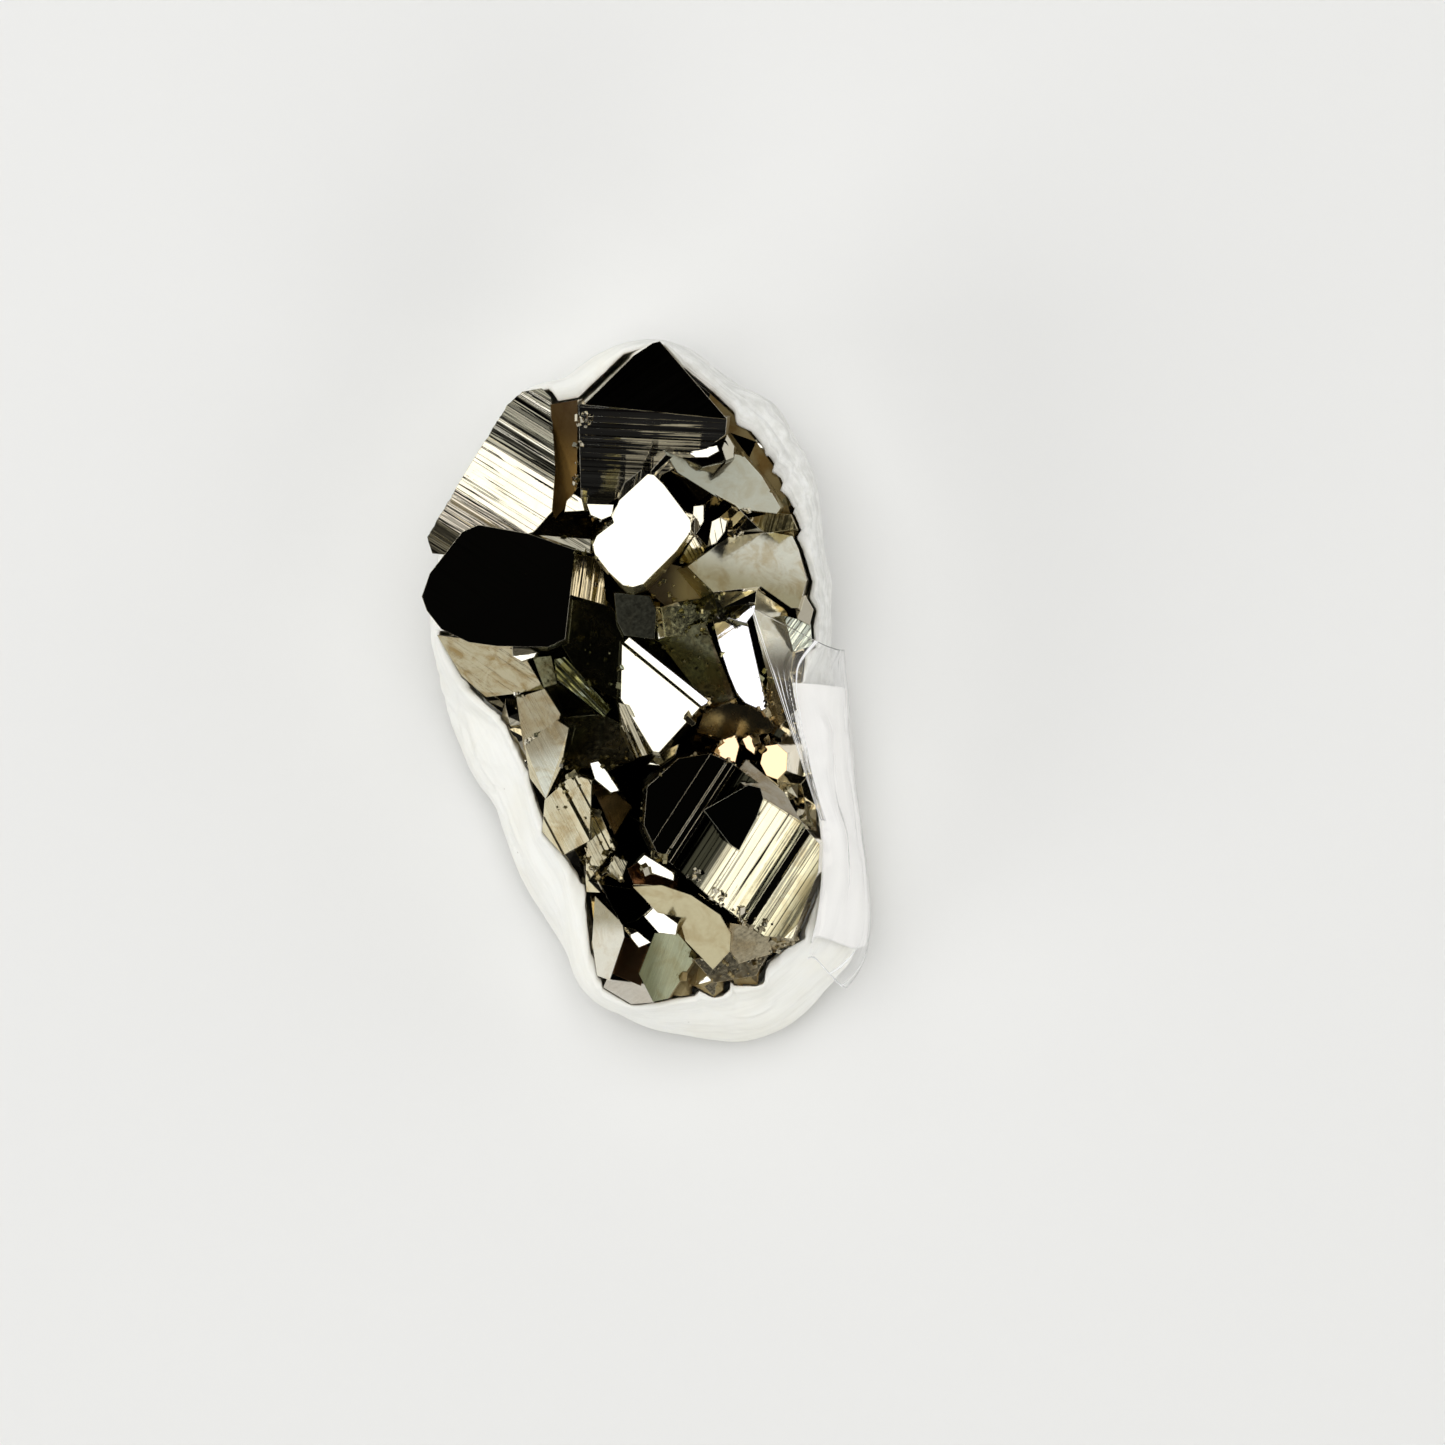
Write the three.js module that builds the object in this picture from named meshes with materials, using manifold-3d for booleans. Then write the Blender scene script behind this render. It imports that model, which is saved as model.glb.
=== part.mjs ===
// A pyrite specimen: intergrown striated cubes and pyritohedra on a rough base,
// packed round the sides in white padding, with a paper strip taped to its right side.
// Millimetres, +Z up. The origin is on the table under the middle of the specimen,
// +Y runs along its long side to the pointed end, +X to the side with the paper strip.
import * as THREE from 'three';
import { ConvexGeometry } from 'three/addons/geometries/ConvexGeometry.js';
import { mergeVertices } from 'three/addons/utils/BufferGeometryUtils.js';
import Module from 'manifold-3d';

const wasm = await Module();
wasm.setup();
const { Manifold } = wasm;

const RAD = Math.PI / 180;
const FIT_GAP = 0.46; // space kept between the specimen and what is packed round it
const ROOT_DEPTH = 11; // how far a crystal reaches down into the others
const PAPER = 0.14; // thickness of the paper strip
const FILM = 0.1; // thickness of the clear tape
const CENTRE = [0.5, 1.0]; // the padding is laid round this point
const WRAP_FOOT = 1.4; // the padding ends this far above the table
const FINEST = 0.01; // details smaller than this are merged
const MERGE = 1e-4; // corners nearer than this are one
const WRAP_COUNT = 76; // sections round the padding
const LEVEL = 0.5; // height between two measured outlines of the specimen
const STEPS = [0, 0.17, 0.37, 0.6, 0.8, 0.92, 1]; // the padding's rows, foot to upper edge
const LABEL_ENDS = [-1.5 * RAD, -50.5 * RAD]; // the paper strip's two ends round the centre
const LABEL_RISE = [0.24, 1]; // the strip's lower and upper edge, as parts of the padding's height
const TAPE_ENDS = [13 * RAD, -57 * RAD]; // the clear tape's two ends round the centre
const FLAP_FROM = [10.6, 8.6, 23.3]; // upper end of the tape's free edge
const FLAP_TO = [17.6, -12.6, 19.4]; // where the free edge comes back to the padding

// Repeatable random numbers between 0 and 1.
function dice(seed) {
  let a = seed >>> 0;
  return () => {
    a = (a + 0x6d2b79f5) >>> 0;
    let t = a;
    t = Math.imul(t ^ (t >>> 15), t | 1);
    t ^= t + Math.imul(t ^ (t >>> 7), t | 61);
    return ((t ^ (t >>> 14)) >>> 0) / 4294967296;
  };
}

function leaning(azimuth, tilt) {
  const a = azimuth * RAD;
  const t = tilt * RAD;
  return new THREE.Vector3(Math.sin(t) * Math.cos(a), Math.sin(t) * Math.sin(a), Math.cos(t));
}

// The visible crystal faces. Each has its corners seen from above, one point of the face
// with its height, the direction that it leans to with the lean in degrees, and the
// steepness of its sides (90 is upright, more is undercut), one for all or one a side.
// groove: direction of the growth lines, mean width of a band, depth, steepest slope of a
// band in degrees, the stretch that stays smooth, and how far the face bends down across
// the bands (place and degrees of each turn).
const FACES = [
  {
    name: 'left striated block',
    at: [-13.5, 21.5, 20.5],
    lean: [130, 20],
    corners: [
      [-10.2, 30.4], [-9.2, 29.5], [-8.7, 22.3], [-9.0, 18.0], [-10.8, 16.0], [-18.0, 13.6],
      [-21.0, 13.9], [-21.5, 15.6], [-18.2, 21.2], [-13.6, 28.8], [-12.1, 30.1],
    ],
    sides: [88, 88, 88, 88, 88, 96, 108, 112, 112, 104, 96],
    groove: { along: -32, width: 0.6, depth: 0.2, slope: 22, seed: 11, smooth: [-2.3, 3.3] },
  },
  {
    name: 'steep brown strip',
    at: [-6.5, 24, 23.5],
    lean: [195, 65],
    corners: [[-9.2, 28.7], [-6.4, 28.9], [-6.6, 20.4], [-8.0, 18.4], [-8.9, 17.5]],
  },
  {
    name: 'top block, upper face',
    at: [1.0, 28.3, 26.5],
    lean: [84, 7],
    corners: [[-7.3, 29.0], [-1.0, 33.2], [0.1, 34.3], [1.7, 34.7], [8.3, 27.0], [-6.3, 28.5]],
    sides: [84, 84, 92, 92, 88, 93],
  },
  {
    name: 'top block, striated front',
    at: [1.0, 28.3, 26.5],
    lean: [264, 30],
    corners: [[-6.3, 28.5], [8.3, 27.3], [8.1, 24.9], [5.2, 23.4], [-1.9, 18.3], [-6.2, 18.1]],
    groove: { along: -3, width: 0.5, depth: 0.12, slope: 3.5, seed: 23 },
  },
  {
    name: 'black face right of the front',
    at: [0.5, 21.5, 24.5],
    lean: [200, 5],
    corners: [[-2.2, 18.6], [1.8, 23.7], [2.9, 23.3], [0.9, 21.5], [-0.4, 20.6]],
  },
  {
    name: 'curled chip',
    at: [8.4, 24.0, 24.4],
    lean: [50, 38],
    corners: [[8.3, 25.6], [9.0, 24.4], [8.9, 23.3], [8.2, 23.0], [7.8, 24.2]],
  },
  {
    name: 'glint at the lower corner of the front',
    at: [6.0, 23.6, 24.5],
    lean: [127, 24],
    corners: [[4.3, 23.9], [7.3, 24.5], [7.5, 23.9], [6.4, 23.3], [5.2, 23.3]],
  },
  {
    name: 'black notch above the grey face',
    at: [6.0, 23.0, 23.9],
    lean: [200, 4],
    corners: [[2.4, 23.9], [8.2, 25.0], [8.9, 23.6], [7.8, 22.9], [5.9, 22.4]],
  },
  {
    name: 'foot of the front, left glint',
    at: [-6.6, 18.6, 22.0],
    lean: [126, 24],
    corners: [[-7.6, 19.1], [-6.9, 19.8], [-6.1, 19.3], [-5.8, 18.1], [-7.8, 18.0]],
  },
  {
    name: 'foot of the front, right glint',
    at: [-4.4, 18.4, 22.2],
    lean: [126, 24],
    corners: [[-5.6, 18.8], [-2.9, 18.7], [-3.1, 17.6], [-4.1, 17.2], [-5.2, 17.7]],
  },
  {
    name: 'smooth grey face',
    at: [8.0, 21.0, 23.2],
    lean: [50, 30],
    corners: [
      [2.0, 24.1], [9.2, 23.7], [10.0, 23.5], [11.7, 21.6], [13.6, 18.4], [13.2, 17.8],
      [9.0, 18.3], [3.4, 21.8],
    ],
    sides: [80, 80, 82, 82, 86, 86, 90, 86],
  },
  {
    name: 'dark flank under the grey face',
    at: [6.0, 20.2, 23.4],
    lean: [222, 56],
    corners: [[2.4, 22.3], [9.1, 18.6], [11.4, 16.3], [8.2, 15.8]],
  },
  {
    name: 'white quad, upper part',
    at: [-0.2, 15.6, 28.0],
    lean: [128, 22],
    corners: [
      [0.5, 21.6], [1.1, 21.5], [2.1, 20.5], [4.7, 17.0], [4.8, 16.0], [-2.5, 15.8],
      [-3.0, 17.3], [-2.3, 19.0],
    ],
    sides: [82, 82, 82, 86, 86, 88, 86, 76],
  },
  {
    name: 'white quad, lower part',
    at: [-0.2, 15.6, 28.0],
    lean: [128, 22],
    corners: [
      [4.8, 16.8], [4.7, 15.8], [3.3, 13.9], [0.1, 10.7], [-0.9, 10.4], [-1.9, 10.6], [-3.3, 11.9],
      [-4.7, 13.7], [-4.9, 14.6], [-4.5, 15.5], [-2.8, 16.8],
    ],
    sides: [86, 86, 86, 86, 86, 88, 88, 88, 86, 82, 82],
  },
  {
    name: 'lamella 1',
    at: [5.4, 17.2, 24.6],
    lean: [136, 21],
    corners: [[5.0, 18.5], [6.0, 18.6], [6.0, 17.0], [5.2, 15.6], [4.8, 15.9]],
  },
  {
    name: 'lamella 2',
    at: [5.4, 14.6, 23.2],
    lean: [318, 24],
    corners: [[5.2, 15.8], [6.3, 14.6], [5.2, 12.6], [3.6, 13.2]],
    groove: { along: 118, width: 0.4, depth: 0.1, slope: 14, seed: 73 },
  },
  {
    name: 'lamella 3',
    at: [7.4, 16.2, 24.4],
    lean: [128, 23],
    corners: [[6.8, 17.0], [7.6, 17.4], [8.3, 17.0], [8.1, 16.0], [7.2, 14.8], [6.4, 14.5]],
  },
  {
    name: 'beige face, left part',
    at: [11.0, 13.0, 22.0],
    lean: [40, 34],
    corners: [
      [8.4, 15.5], [12.4, 16.1], [14.8, 15.7], [15.4, 14.4], [11.6, 10.6], [6.9, 10.0],
      [4.4, 12.5],
    ],
    sides: [84, 84, 84, 88, 62, 74, 84],
  },
  {
    name: 'beige face, right part',
    at: [11.0, 13.0, 22.0],
    lean: [40, 34],
    corners: [
      [12.4, 16.0], [14.8, 15.7], [15.4, 14.4], [16.2, 11.3], [15.4, 8.5], [14.6, 8.5],
      [11.6, 10.6],
    ],
    sides: [84, 84, 84, 84, 84, 88, 88],
  },
  {
    name: 'fluted strip under the grey face',
    at: [12.5, 17.0, 21.0],
    lean: [262, 40],
    corners: [[10.4, 17.4], [12.6, 17.9], [14.6, 17.7], [15.2, 16.4], [12.6, 16.0], [10.8, 16.0]],
    groove: { along: 75, width: 0.3, depth: 0.08, slope: 14, seed: 71 },
  },
  {
    name: 'big dark cube',
    at: [-14.0, 10.5, 23.2],
    lean: [200, 3],
    corners: [
      [-16.3, 16.7], [-11.3, 15.8], [-6.7, 14.2], [-7.2, 9.8], [-7.7, 5.4], [-9.4, 4.6],
      [-14.5, 4.7], [-17.3, 5.1], [-20.0, 6.4], [-21.4, 8.2], [-21.9, 9.6], [-21.1, 11.9],
      [-17.9, 16.0],
    ],
    sides: [88, 80, 88, 88, 86, 84, 84, 90, 104, 112, 112, 108, 92],
  },
  {
    name: 'strip above the dark cube',
    at: [-7.5, 15.0, 22.4],
    lean: [80, 30],
    corners: [[-10.3, 15.7], [-5.2, 15.3], [-5.2, 13.9], [-8.6, 14.6]],
  },
  {
    name: 'striated right flank of the dark cube',
    at: [-5.3, 11.5, 20.8],
    lean: [335, 27],
    corners: [[-6.9, 13.8], [-4.1, 13.5], [-3.7, 8.8], [-7.2, 9.8]],
    groove: { along: 82, width: 0.45, depth: 0.14, slope: 12, seed: 37 },
  },
  {
    name: 'mottled face below the dark cube',
    at: [-15.0, 3.0, 19.0],
    lean: [245, 50],
    corners: [
      [-20.9, 6.5], [-16.3, 5.3], [-12.4, 4.8], [-9.9, 0.5], [-13.0, 0.0], [-15.8, -0.3],
      [-18.2, 1.8],
    ],
    sides: [88, 88, 88, 88, 90, 92, 92],
  },
  {
    name: 'glint under the dark cube',
    at: [-11.8, 4.0, 22.2],
    lean: [128, 24],
    corners: [[-13.0, 4.5], [-11.8, 4.8], [-10.5, 4.1], [-10.8, 3.6], [-12.0, 3.2], [-12.9, 3.7]],
  },
  {
    name: 'brown step beside the mottled face',
    at: [-9.8, 2.6, 19.2],
    lean: [20, 35],
    corners: [[-11.0, 3.6], [-9.2, 3.8], [-8.6, 1.0], [-9.9, 0.6]],
  },
  {
    name: 'left folded face, upper',
    at: [-10.6, -2.6, 18.0],
    lean: [200, 47],
    corners: [[-12.7, -0.4], [-9.8, 0.5], [-8.2, -2.0], [-9.3, -5.6], [-12.0, -5.6]],
    sides: [88, 86, 84, 88, 92],
  },
  {
    name: 'left folded face, middle',
    at: [-9.9, -6.4, 17.6],
    lean: [212, 40],
    corners: [[-11.9, -5.0], [-8.6, -2.6], [-7.4, -3.4], [-8.2, -7.3], [-9.8, -10.5], [-11.4, -8.4]],
    sides: [88, 84, 84, 86, 92, 92],
  },
  {
    name: 'left folded face, lower',
    at: [-7.6, -12.4, 18.0],
    lean: [205, 46],
    corners: [[-9.9, -10.6], [-7.0, -8.0], [-5.1, -8.6], [-5.4, -14.6], [-8.1, -16.1], [-10.2, -13.8]],
    sides: [88, 86, 84, 88, 92, 92],
    groove: { along: -62, width: 1.1, depth: 0.2, slope: 8, seed: 41 },
  },
  {
    name: 'left folded face, foot',
    at: [-4.9, -13.4, 18.2],
    lean: [222, 40],
    corners: [[-5.4, -9.2], [-2.9, -15.3], [-5.7, -18.8], [-7.4, -16.6], [-5.6, -13.4]],
    sides: [84, 88, 92, 88, 86],
    groove: { along: -64, width: 0.9, depth: 0.16, slope: 8, seed: 43 },
  },
  {
    name: 'brown facet',
    at: [-3.4, -10.9, 18.4],
    lean: [20, 36],
    corners: [[-5.4, -8.7], [-2.8, -9.8], [-1.2, -11.2], [-2.9, -14.0]],
  },
  {
    name: 'white sliver',
    at: [-3.9, -8.2, 20.0],
    lean: [128, 23],
    corners: [[-5.3, -6.9], [-4.5, -6.7], [-3.6, -7.8], [-2.4, -9.6], [-3.2, -9.8], [-4.8, -8.5]],
  },
  {
    name: 'grey knob',
    at: [-2.7, -17.3, 17.4],
    lean: [232, 38],
    corners: [[-3.9, -18.0], [-2.9, -16.1], [-1.6, -16.7], [-2.3, -18.7]],
  },
  {
    name: 'slate face',
    at: [-0.8, 7.8, 21.6],
    lean: [192, 20],
    corners: [[-2.9, 10.0], [0.6, 9.7], [1.3, 8.3], [1.1, 5.4], [-1.9, 5.8], [-2.6, 7.2]],
    sides: [86, 86, 82, 86, 86, 88],
  },
  {
    name: 'standing glint',
    at: [1.6, 7.0, 21.6],
    lean: [128, 24],
    corners: [[1.2, 8.6], [1.8, 8.6], [2.1, 5.6], [1.5, 5.4]],
  },
  {
    name: 'olive ledge 1',
    at: [2.6, 10.6, 21.6],
    lean: [262, 26],
    corners: [[-0.4, 11.0], [2.2, 12.9], [4.6, 12.4], [6.6, 9.8], [2.6, 8.3]],
  },
  {
    name: 'olive ledge 2',
    at: [4.4, 7.8, 20.4],
    lean: [305, 18],
    corners: [[1.2, 8.4], [5.8, 9.9], [7.0, 7.8], [5.6, 5.8], [1.4, 5.6]],
  },
  {
    name: 'black wedge',
    at: [8.4, 8.9, 22.2],
    lean: [285, 10],
    corners: [[5.6, 8.2], [7.4, 10.2], [11.3, 10.7], [11.1, 9.0]],
  },
  {
    name: 'bright wedge',
    at: [1.0, -0.8, 24.3],
    lean: [128, 22],
    corners: [[-2.1, 4.9], [5.6, -1.4], [1.6, -5.8], [1.0, -5.7], [-2.2, -0.5]],
    sides: [88, 84, 84, 84, 86],
  },
  {
    name: 'strip beside the wedge',
    at: [2.0, 1.6, 23.45],
    lean: [126, 23],
    corners: [[-1.9, 5.1], [-1.4, 5.6], [6.6, -0.8], [5.8, -1.25]],
    sides: 88,
  },
  {
    name: 'dark slope right of the wedge',
    at: [6.6, 3.0, 20.0],
    lean: [215, 22],
    corners: [[1.0, 5.9], [6.1, 7.1], [9.4, -1.1], [7.0, -1.9]],
  },
  {
    name: 'striated foot of the wedge',
    at: [-0.4, -3.2, 24.0],
    lean: [222, 52],
    corners: [[-2.4, -0.9], [-1.4, -1.2], [1.1, -5.8], [-0.8, -6.4], [-2.0, -3.6]],
    groove: { along: -66, width: 0.4, depth: 0.12, slope: 10, seed: 53 },
  },
  {
    name: 'golden strip',
    at: [2.0, -6.1, 21.4],
    lean: [122, 26],
    corners: [[0.5, -7.0], [1.4, -6.0], [3.5, -5.0], [3.2, -6.0], [1.6, -7.1]],
  },
  {
    name: 'lilac white face',
    at: [9.5, 3.4, 22.7],
    lean: [124, 24],
    corners: [
      [6.8, 7.6], [9.1, 7.9], [10.4, 7.4], [10.9, 5.4], [11.9, -0.1], [12.3, -1.9],
      [10.1, -0.9], [9.3, 0.0], [8.5, 1.9], [7.5, 4.9],
    ],
    sides: 88,
  },
  {
    name: 'lilac white tip',
    at: [10.2, 8.2, 21.8],
    lean: [124, 23],
    corners: [[8.4, 7.5], [10.2, 8.9], [11.1, 8.8], [11.0, 8.1], [10.2, 7.0]],
  },
  {
    name: 'grey green face',
    at: [13.0, 5.0, 19.6],
    lean: [4, 40],
    corners: [[10.8, 7.9], [11.2, 10.4], [14.2, 8.3], [15.0, 5.2], [14.4, 1.4], [12.3, 1.8]],
  },
  {
    name: 'brown sliver under the tape',
    at: [13.8, 0.8, 18.0],
    lean: [200, 20],
    corners: [[12.4, 4.0], [14.5, 2.6], [15.2, -1.6], [13.6, -3.2], [12.2, -1.4]],
  },
  {
    name: 'fine striated crystal',
    at: [15.5, 5.9, 18.6],
    lean: [330, 36],
    corners: [[14.0, 7.7], [16.6, 7.2], [16.8, 4.8], [14.9, 4.2]],
    groove: { along: 55, width: 0.34, depth: 0.1, slope: 14, seed: 59 },
  },
  {
    name: 'rim crystal',
    at: [15.9, 8.6, 18.8],
    lean: [70, 30],
    corners: [[15.0, 8.8], [16.1, 9.8], [16.9, 8.4], [16.5, 6.8], [15.3, 7.4]],
  },
  {
    name: 'round brown face',
    at: [9.0, -2.8, 20.4],
    lean: [250, 26],
    corners: [[6.0, -1.8], [8.5, -0.9], [10.5, -1.2], [12.2, -2.1], [13.3, -3.7], [8.4, -4.6], [5.3, -3.8]],
  },
  {
    name: 'golden facet 1',
    at: [8.0, -5.6, 22.2],
    lean: [126, 24],
    corners: [[7.0, -5.8], [7.7, -4.6], [9.1, -4.1], [9.5, -5.2], [9.1, -6.8], [8.0, -6.4]],
  },
  {
    name: 'golden facet 2',
    at: [10.5, -5.0, 20.8],
    lean: [128, 25],
    corners: [[9.8, -4.5], [10.5, -4.1], [11.2, -4.9], [11.0, -6.0], [10.2, -5.4]],
  },
  {
    name: 'golden crystal',
    at: [12.9, -6.7, 21.0],
    lean: [128, 22],
    corners: [
      [12.0, -5.2], [13.3, -5.0], [14.3, -5.9], [14.2, -7.6], [13.3, -8.5], [12.2, -8.1],
      [11.6, -6.9],
    ],
    sides: 74,
  },
  {
    name: 'striated main crystal',
    at: [3.0, -12.0, 23.6],
    lean: [327, 3],
    corners: [
      [0.4, -9.2], [3.5, -6.4], [6.6, -5.9], [8.7, -6.8], [12.5, -9.8], [15.0, -12.5],
      [17.1, -15.1], [16.9, -17.6], [14.4, -23.8], [11.1, -23.6], [6.6, -19.9], [3.2, -17.6],
      [1.8, -16.6], [0.1, -13.0],
    ],
    sides: [84, 84, 84, 84, 84, 84, 84, 84, 84, 84, 84, 78, 84, 86],
    groove: {
      along: 57,
      width: 0.5,
      depth: 0.14,
      slope: 5,
      seed: 61,
      smooth: [-24, 1.2],
      bend: [[-24, 0], [1.6, 0], [5.6, 25], [11.2, 21], [11.4, 2], [12.6, 2], [12.8, 25], [24, 25]],
    },
  },
  {
    name: 'dark inset',
    at: [9.6, -11.6, 23.7],
    lean: [300, 4],
    corners: [
      [6.0, -11.5], [10.4, -9.0], [11.6, -9.3], [11.9, -10.4], [11.2, -12.3], [9.5, -15.5],
      [8.6, -14.9],
    ],
  },
  {
    name: 'grey shoulder',
    at: [11.4, -8.8, 22.4],
    lean: [62, 38],
    corners: [[8.9, -8.2], [10.2, -6.5], [14.0, -9.8], [15.6, -12.6], [12.0, -10.4], [10.4, -9.4]],
  },
  {
    name: 'glint at the foot of the main crystal',
    at: [1.0, -17.0, 20.6],
    lean: [126, 24],
    corners: [[-0.6, -16.7], [0.1, -16.0], [3.1, -17.8], [3.0, -18.5], [0.6, -17.7]],
  },
  {
    name: 'red brown hollow',
    at: [0.6, -18.2, 18.6],
    lean: [40, 20],
    corners: [[-1.6, -17.4], [-0.4, -16.7], [3.4, -18.4], [3.4, -19.2], [-1.0, -18.9]],
  },
  {
    name: 'long beige face',
    at: [4.5, -22.0, 18.6],
    lean: [236, 42],
    corners: [
      [-1.1, -19.2], [1.8, -19.0], [4.8, -20.0], [7.6, -21.9], [8.7, -23.9], [8.6, -25.6],
      [6.9, -27.5],
    ],
    sides: [84, 84, 84, 84, 86, 88, 88],
  },
  {
    name: 'black strip',
    at: [-1.6, -21.0, 17.2],
    lean: [60, 6],
    corners: [[-4.3, -19.0], [-0.7, -19.5], [0.8, -21.3], [-0.7, -22.6], [-2.2, -23.0]],
    sides: 86,
  },
  {
    name: 'lower glint',
    at: [1.6, -22.8, 17.6],
    lean: [127, 24],
    corners: [[-0.4, -21.7], [0.7, -21.0], [3.4, -22.9], [3.2, -24.0], [1.5, -23.8]],
  },
  {
    name: 'lower left beige face',
    at: [-3.7, -24.5, 15.6],
    lean: [186, 44],
    corners: [[-4.9, -20.2], [-2.1, -22.9], [-1.9, -24.2], [-3.4, -28.6], [-4.7, -28.2], [-5.2, -24.8]],
    sides: [88, 86, 86, 88, 92, 92],
  },
  {
    name: 'lower brown face',
    at: [-1.3, -26.6, 14.8],
    lean: [150, 7],
    corners: [[-2.1, -24.2], [0.4, -25.2], [-0.3, -29.2], [-3.1, -28.0]],
  },
  {
    name: 'small gold tooth',
    at: [-0.7, -24.2, 16.4],
    lean: [126, 24],
    corners: [[-2.2, -23.2], [-0.9, -23.5], [0.7, -24.8], [-0.5, -25.3]],
  },
  {
    name: 'grey green lower face',
    at: [2.4, -27.0, 16.0],
    lean: [312, 40],
    corners: [[1.1, -23.8], [3.4, -23.9], [5.3, -26.2], [2.4, -30.5], [0.9, -30.8], [-0.5, -27.9]],
    sides: [88, 84, 84, 90, 90, 88],
  },
  {
    name: 'bottom rim face',
    at: [-1.5, -29.7, 13.8],
    lean: [250, 44],
    corners: [[-3.7, -28.5], [0.3, -29.0], [1.0, -30.9], [-1.3, -31.1], [-4.1, -29.4]],
    sides: [88, 88, 92, 92, 88],
  },
  {
    name: 'bottom right rim face',
    at: [8.6, -27.4, 14.8],
    lean: [278, 38],
    corners: [[5.0, -26.6], [8.4, -25.6], [12.4, -25.9], [11.2, -28.2], [7.0, -28.9]],
  },
  {
    name: 'step right of the long face',
    at: [10.4, -24.8, 17.0],
    lean: [300, 34],
    corners: [[8.6, -22.8], [11.0, -23.2], [12.9, -24.0], [12.6, -26.0], [9.5, -26.9], [8.3, -25.2]],
  },
  {
    name: 'deep dark ledge',
    at: [-5.0, 4.6, 17.6],
    lean: [250, 12],
    corners: [[-7.9, 9.4], [-3.6, 9.2], [-2.0, 7.0], [-1.9, -1.0], [-6.0, 1.2], [-8.4, 5.2]],
  },
  {
    name: 'green streak',
    at: [-6.0, 0.7, 18.0],
    lean: [52, 34],
    corners: [[-8.9, 3.4], [-7.9, 3.7], [-3.3, -1.5], [-3.9, -2.3], [-8.6, 1.4]],
    groove: { along: -46, width: 0.5, depth: 0.14, slope: 12, seed: 67 },
  },
  {
    name: 'lower dark ledge',
    at: [-4.6, -4.2, 16.4],
    lean: [195, 14],
    corners: [[-8.6, 0.8], [-4.0, -2.0], [-1.8, -1.8], [-0.8, -6.6], [-4.8, -7.4], [-8.3, -7.4]],
  },
  {
    name: 'inner dark ledge',
    at: [-1.4, -9.6, 16.8],
    lean: [160, 10],
    corners: [[-5.2, -6.8], [1.2, -6.2], [0.9, -9.2], [0.4, -13.2], [-2.0, -11.8], [-3.8, -9.8]],
  },
  {
    name: 'lowest dark ledge',
    at: [-0.9, -14.6, 17.0],
    lean: [120, 8],
    corners: [[-3.1, -14.2], [-1.2, -11.4], [0.4, -12.6], [2.0, -16.8], [-0.6, -17.2], [-2.6, -16.4]],
  },
];

// Rough lumps of rock that show between and outside the crystals: place, top height, size.
const LUMPS = [
  [10.2, 26.2, 19.4, 2.3], [11.9, 24.1, 19.0, 2.1], [13.3, 21.8, 18.6, 1.9],
  [14.2, 19.2, 18.4, 1.6], [14.6, 17.2, 18.0, 1.5], [9.4, 28.0, 18.6, 1.9],
  [15.0, 12.0, 16.8, 1.6], [15.2, 9.0, 16.8, 1.6], [14.4, 4.4, 16.2, 1.8],
  [13.4, 0.4, 16.0, 2.0], [13.8, -4.0, 16.6, 2.2], [14.4, -8.6, 16.8, 2.0],
  [14.8, -12.6, 16.4, 2.0], [14.6, -20.0, 15.0, 2.2], [13.4, -24.2, 14.4, 2.2],
  [10.4, -27.2, 13.8, 2.4], [6.6, -28.4, 13.6, 2.2], [3.6, -29.2, 13.0, 1.8],
  [-4.4, -18.6, 14.8, 2.0], [-7.0, -13.6, 15.2, 2.0], [-8.4, -9.2, 15.4, 2.0],
  [-10.2, -4.4, 15.6, 2.0], [-12.8, -1.6, 15.4, 1.8], [-15.0, 2.8, 15.4, 2.2],
  [6.6, 25.4, 19.2, 2.0], [7.0, -4.6, 18.6, 2.2], [11.6, -3.0, 18.4, 2.4],
  [-5.6, 13.6, 19.0, 2.2], [3.8, 7.0, 19.4, 2.2], [-3.4, 0.8, 16.6, 2.2],
  [-1.8, -8.0, 15.6, 2.2], [9.6, -25.8, 14.6, 2.4], [4.6, 10.0, 20.6, 1.8],
  [12.6, 8.6, 18.2, 2.2],
];

// Outer edge of the padding on the table side, and the line where it meets the crystals.
const WRAP_EDGE = [
  [1.5, 35.8], [5.2, 33.8], [9.3, 31.5], [12.9, 28.4], [15.2, 25.6], [16.2, 22.1],
  [16.3, 19.0], [15.9, 17.0], [17.5, 13.9], [18.2, 10.8], [18.7, 7.8], [19.0, 4.7],
  [19.8, 0.6], [20.8, -6.5], [21.8, -14.2], [22.3, -19.3], [21.9, -24.9], [20.2, -28.4],
  [17.4, -31.0], [16.0, -32.8], [14.2, -34.5], [9.3, -35.7], [4.2, -34.9], [0.1, -34.1],
  [-4.0, -31.5], [-6.0, -28.5], [-9.6, -23.9], [-12.6, -19.3], [-15.4, -11.6],
  [-18.0, -8.0], [-20.0, -2.9], [-21.0, 2.2], [-21.9, 6.7], [-21.6, 8.8], [-20.6, 12.4],
  [-20.6, 16.6], [-18.3, 20.0], [-14.2, 25.4], [-11.4, 28.8], [-9.8, 29.6], [-8.2, 29.8],
  [-4.0, 32.8], [-0.9, 35.1],
];
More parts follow.
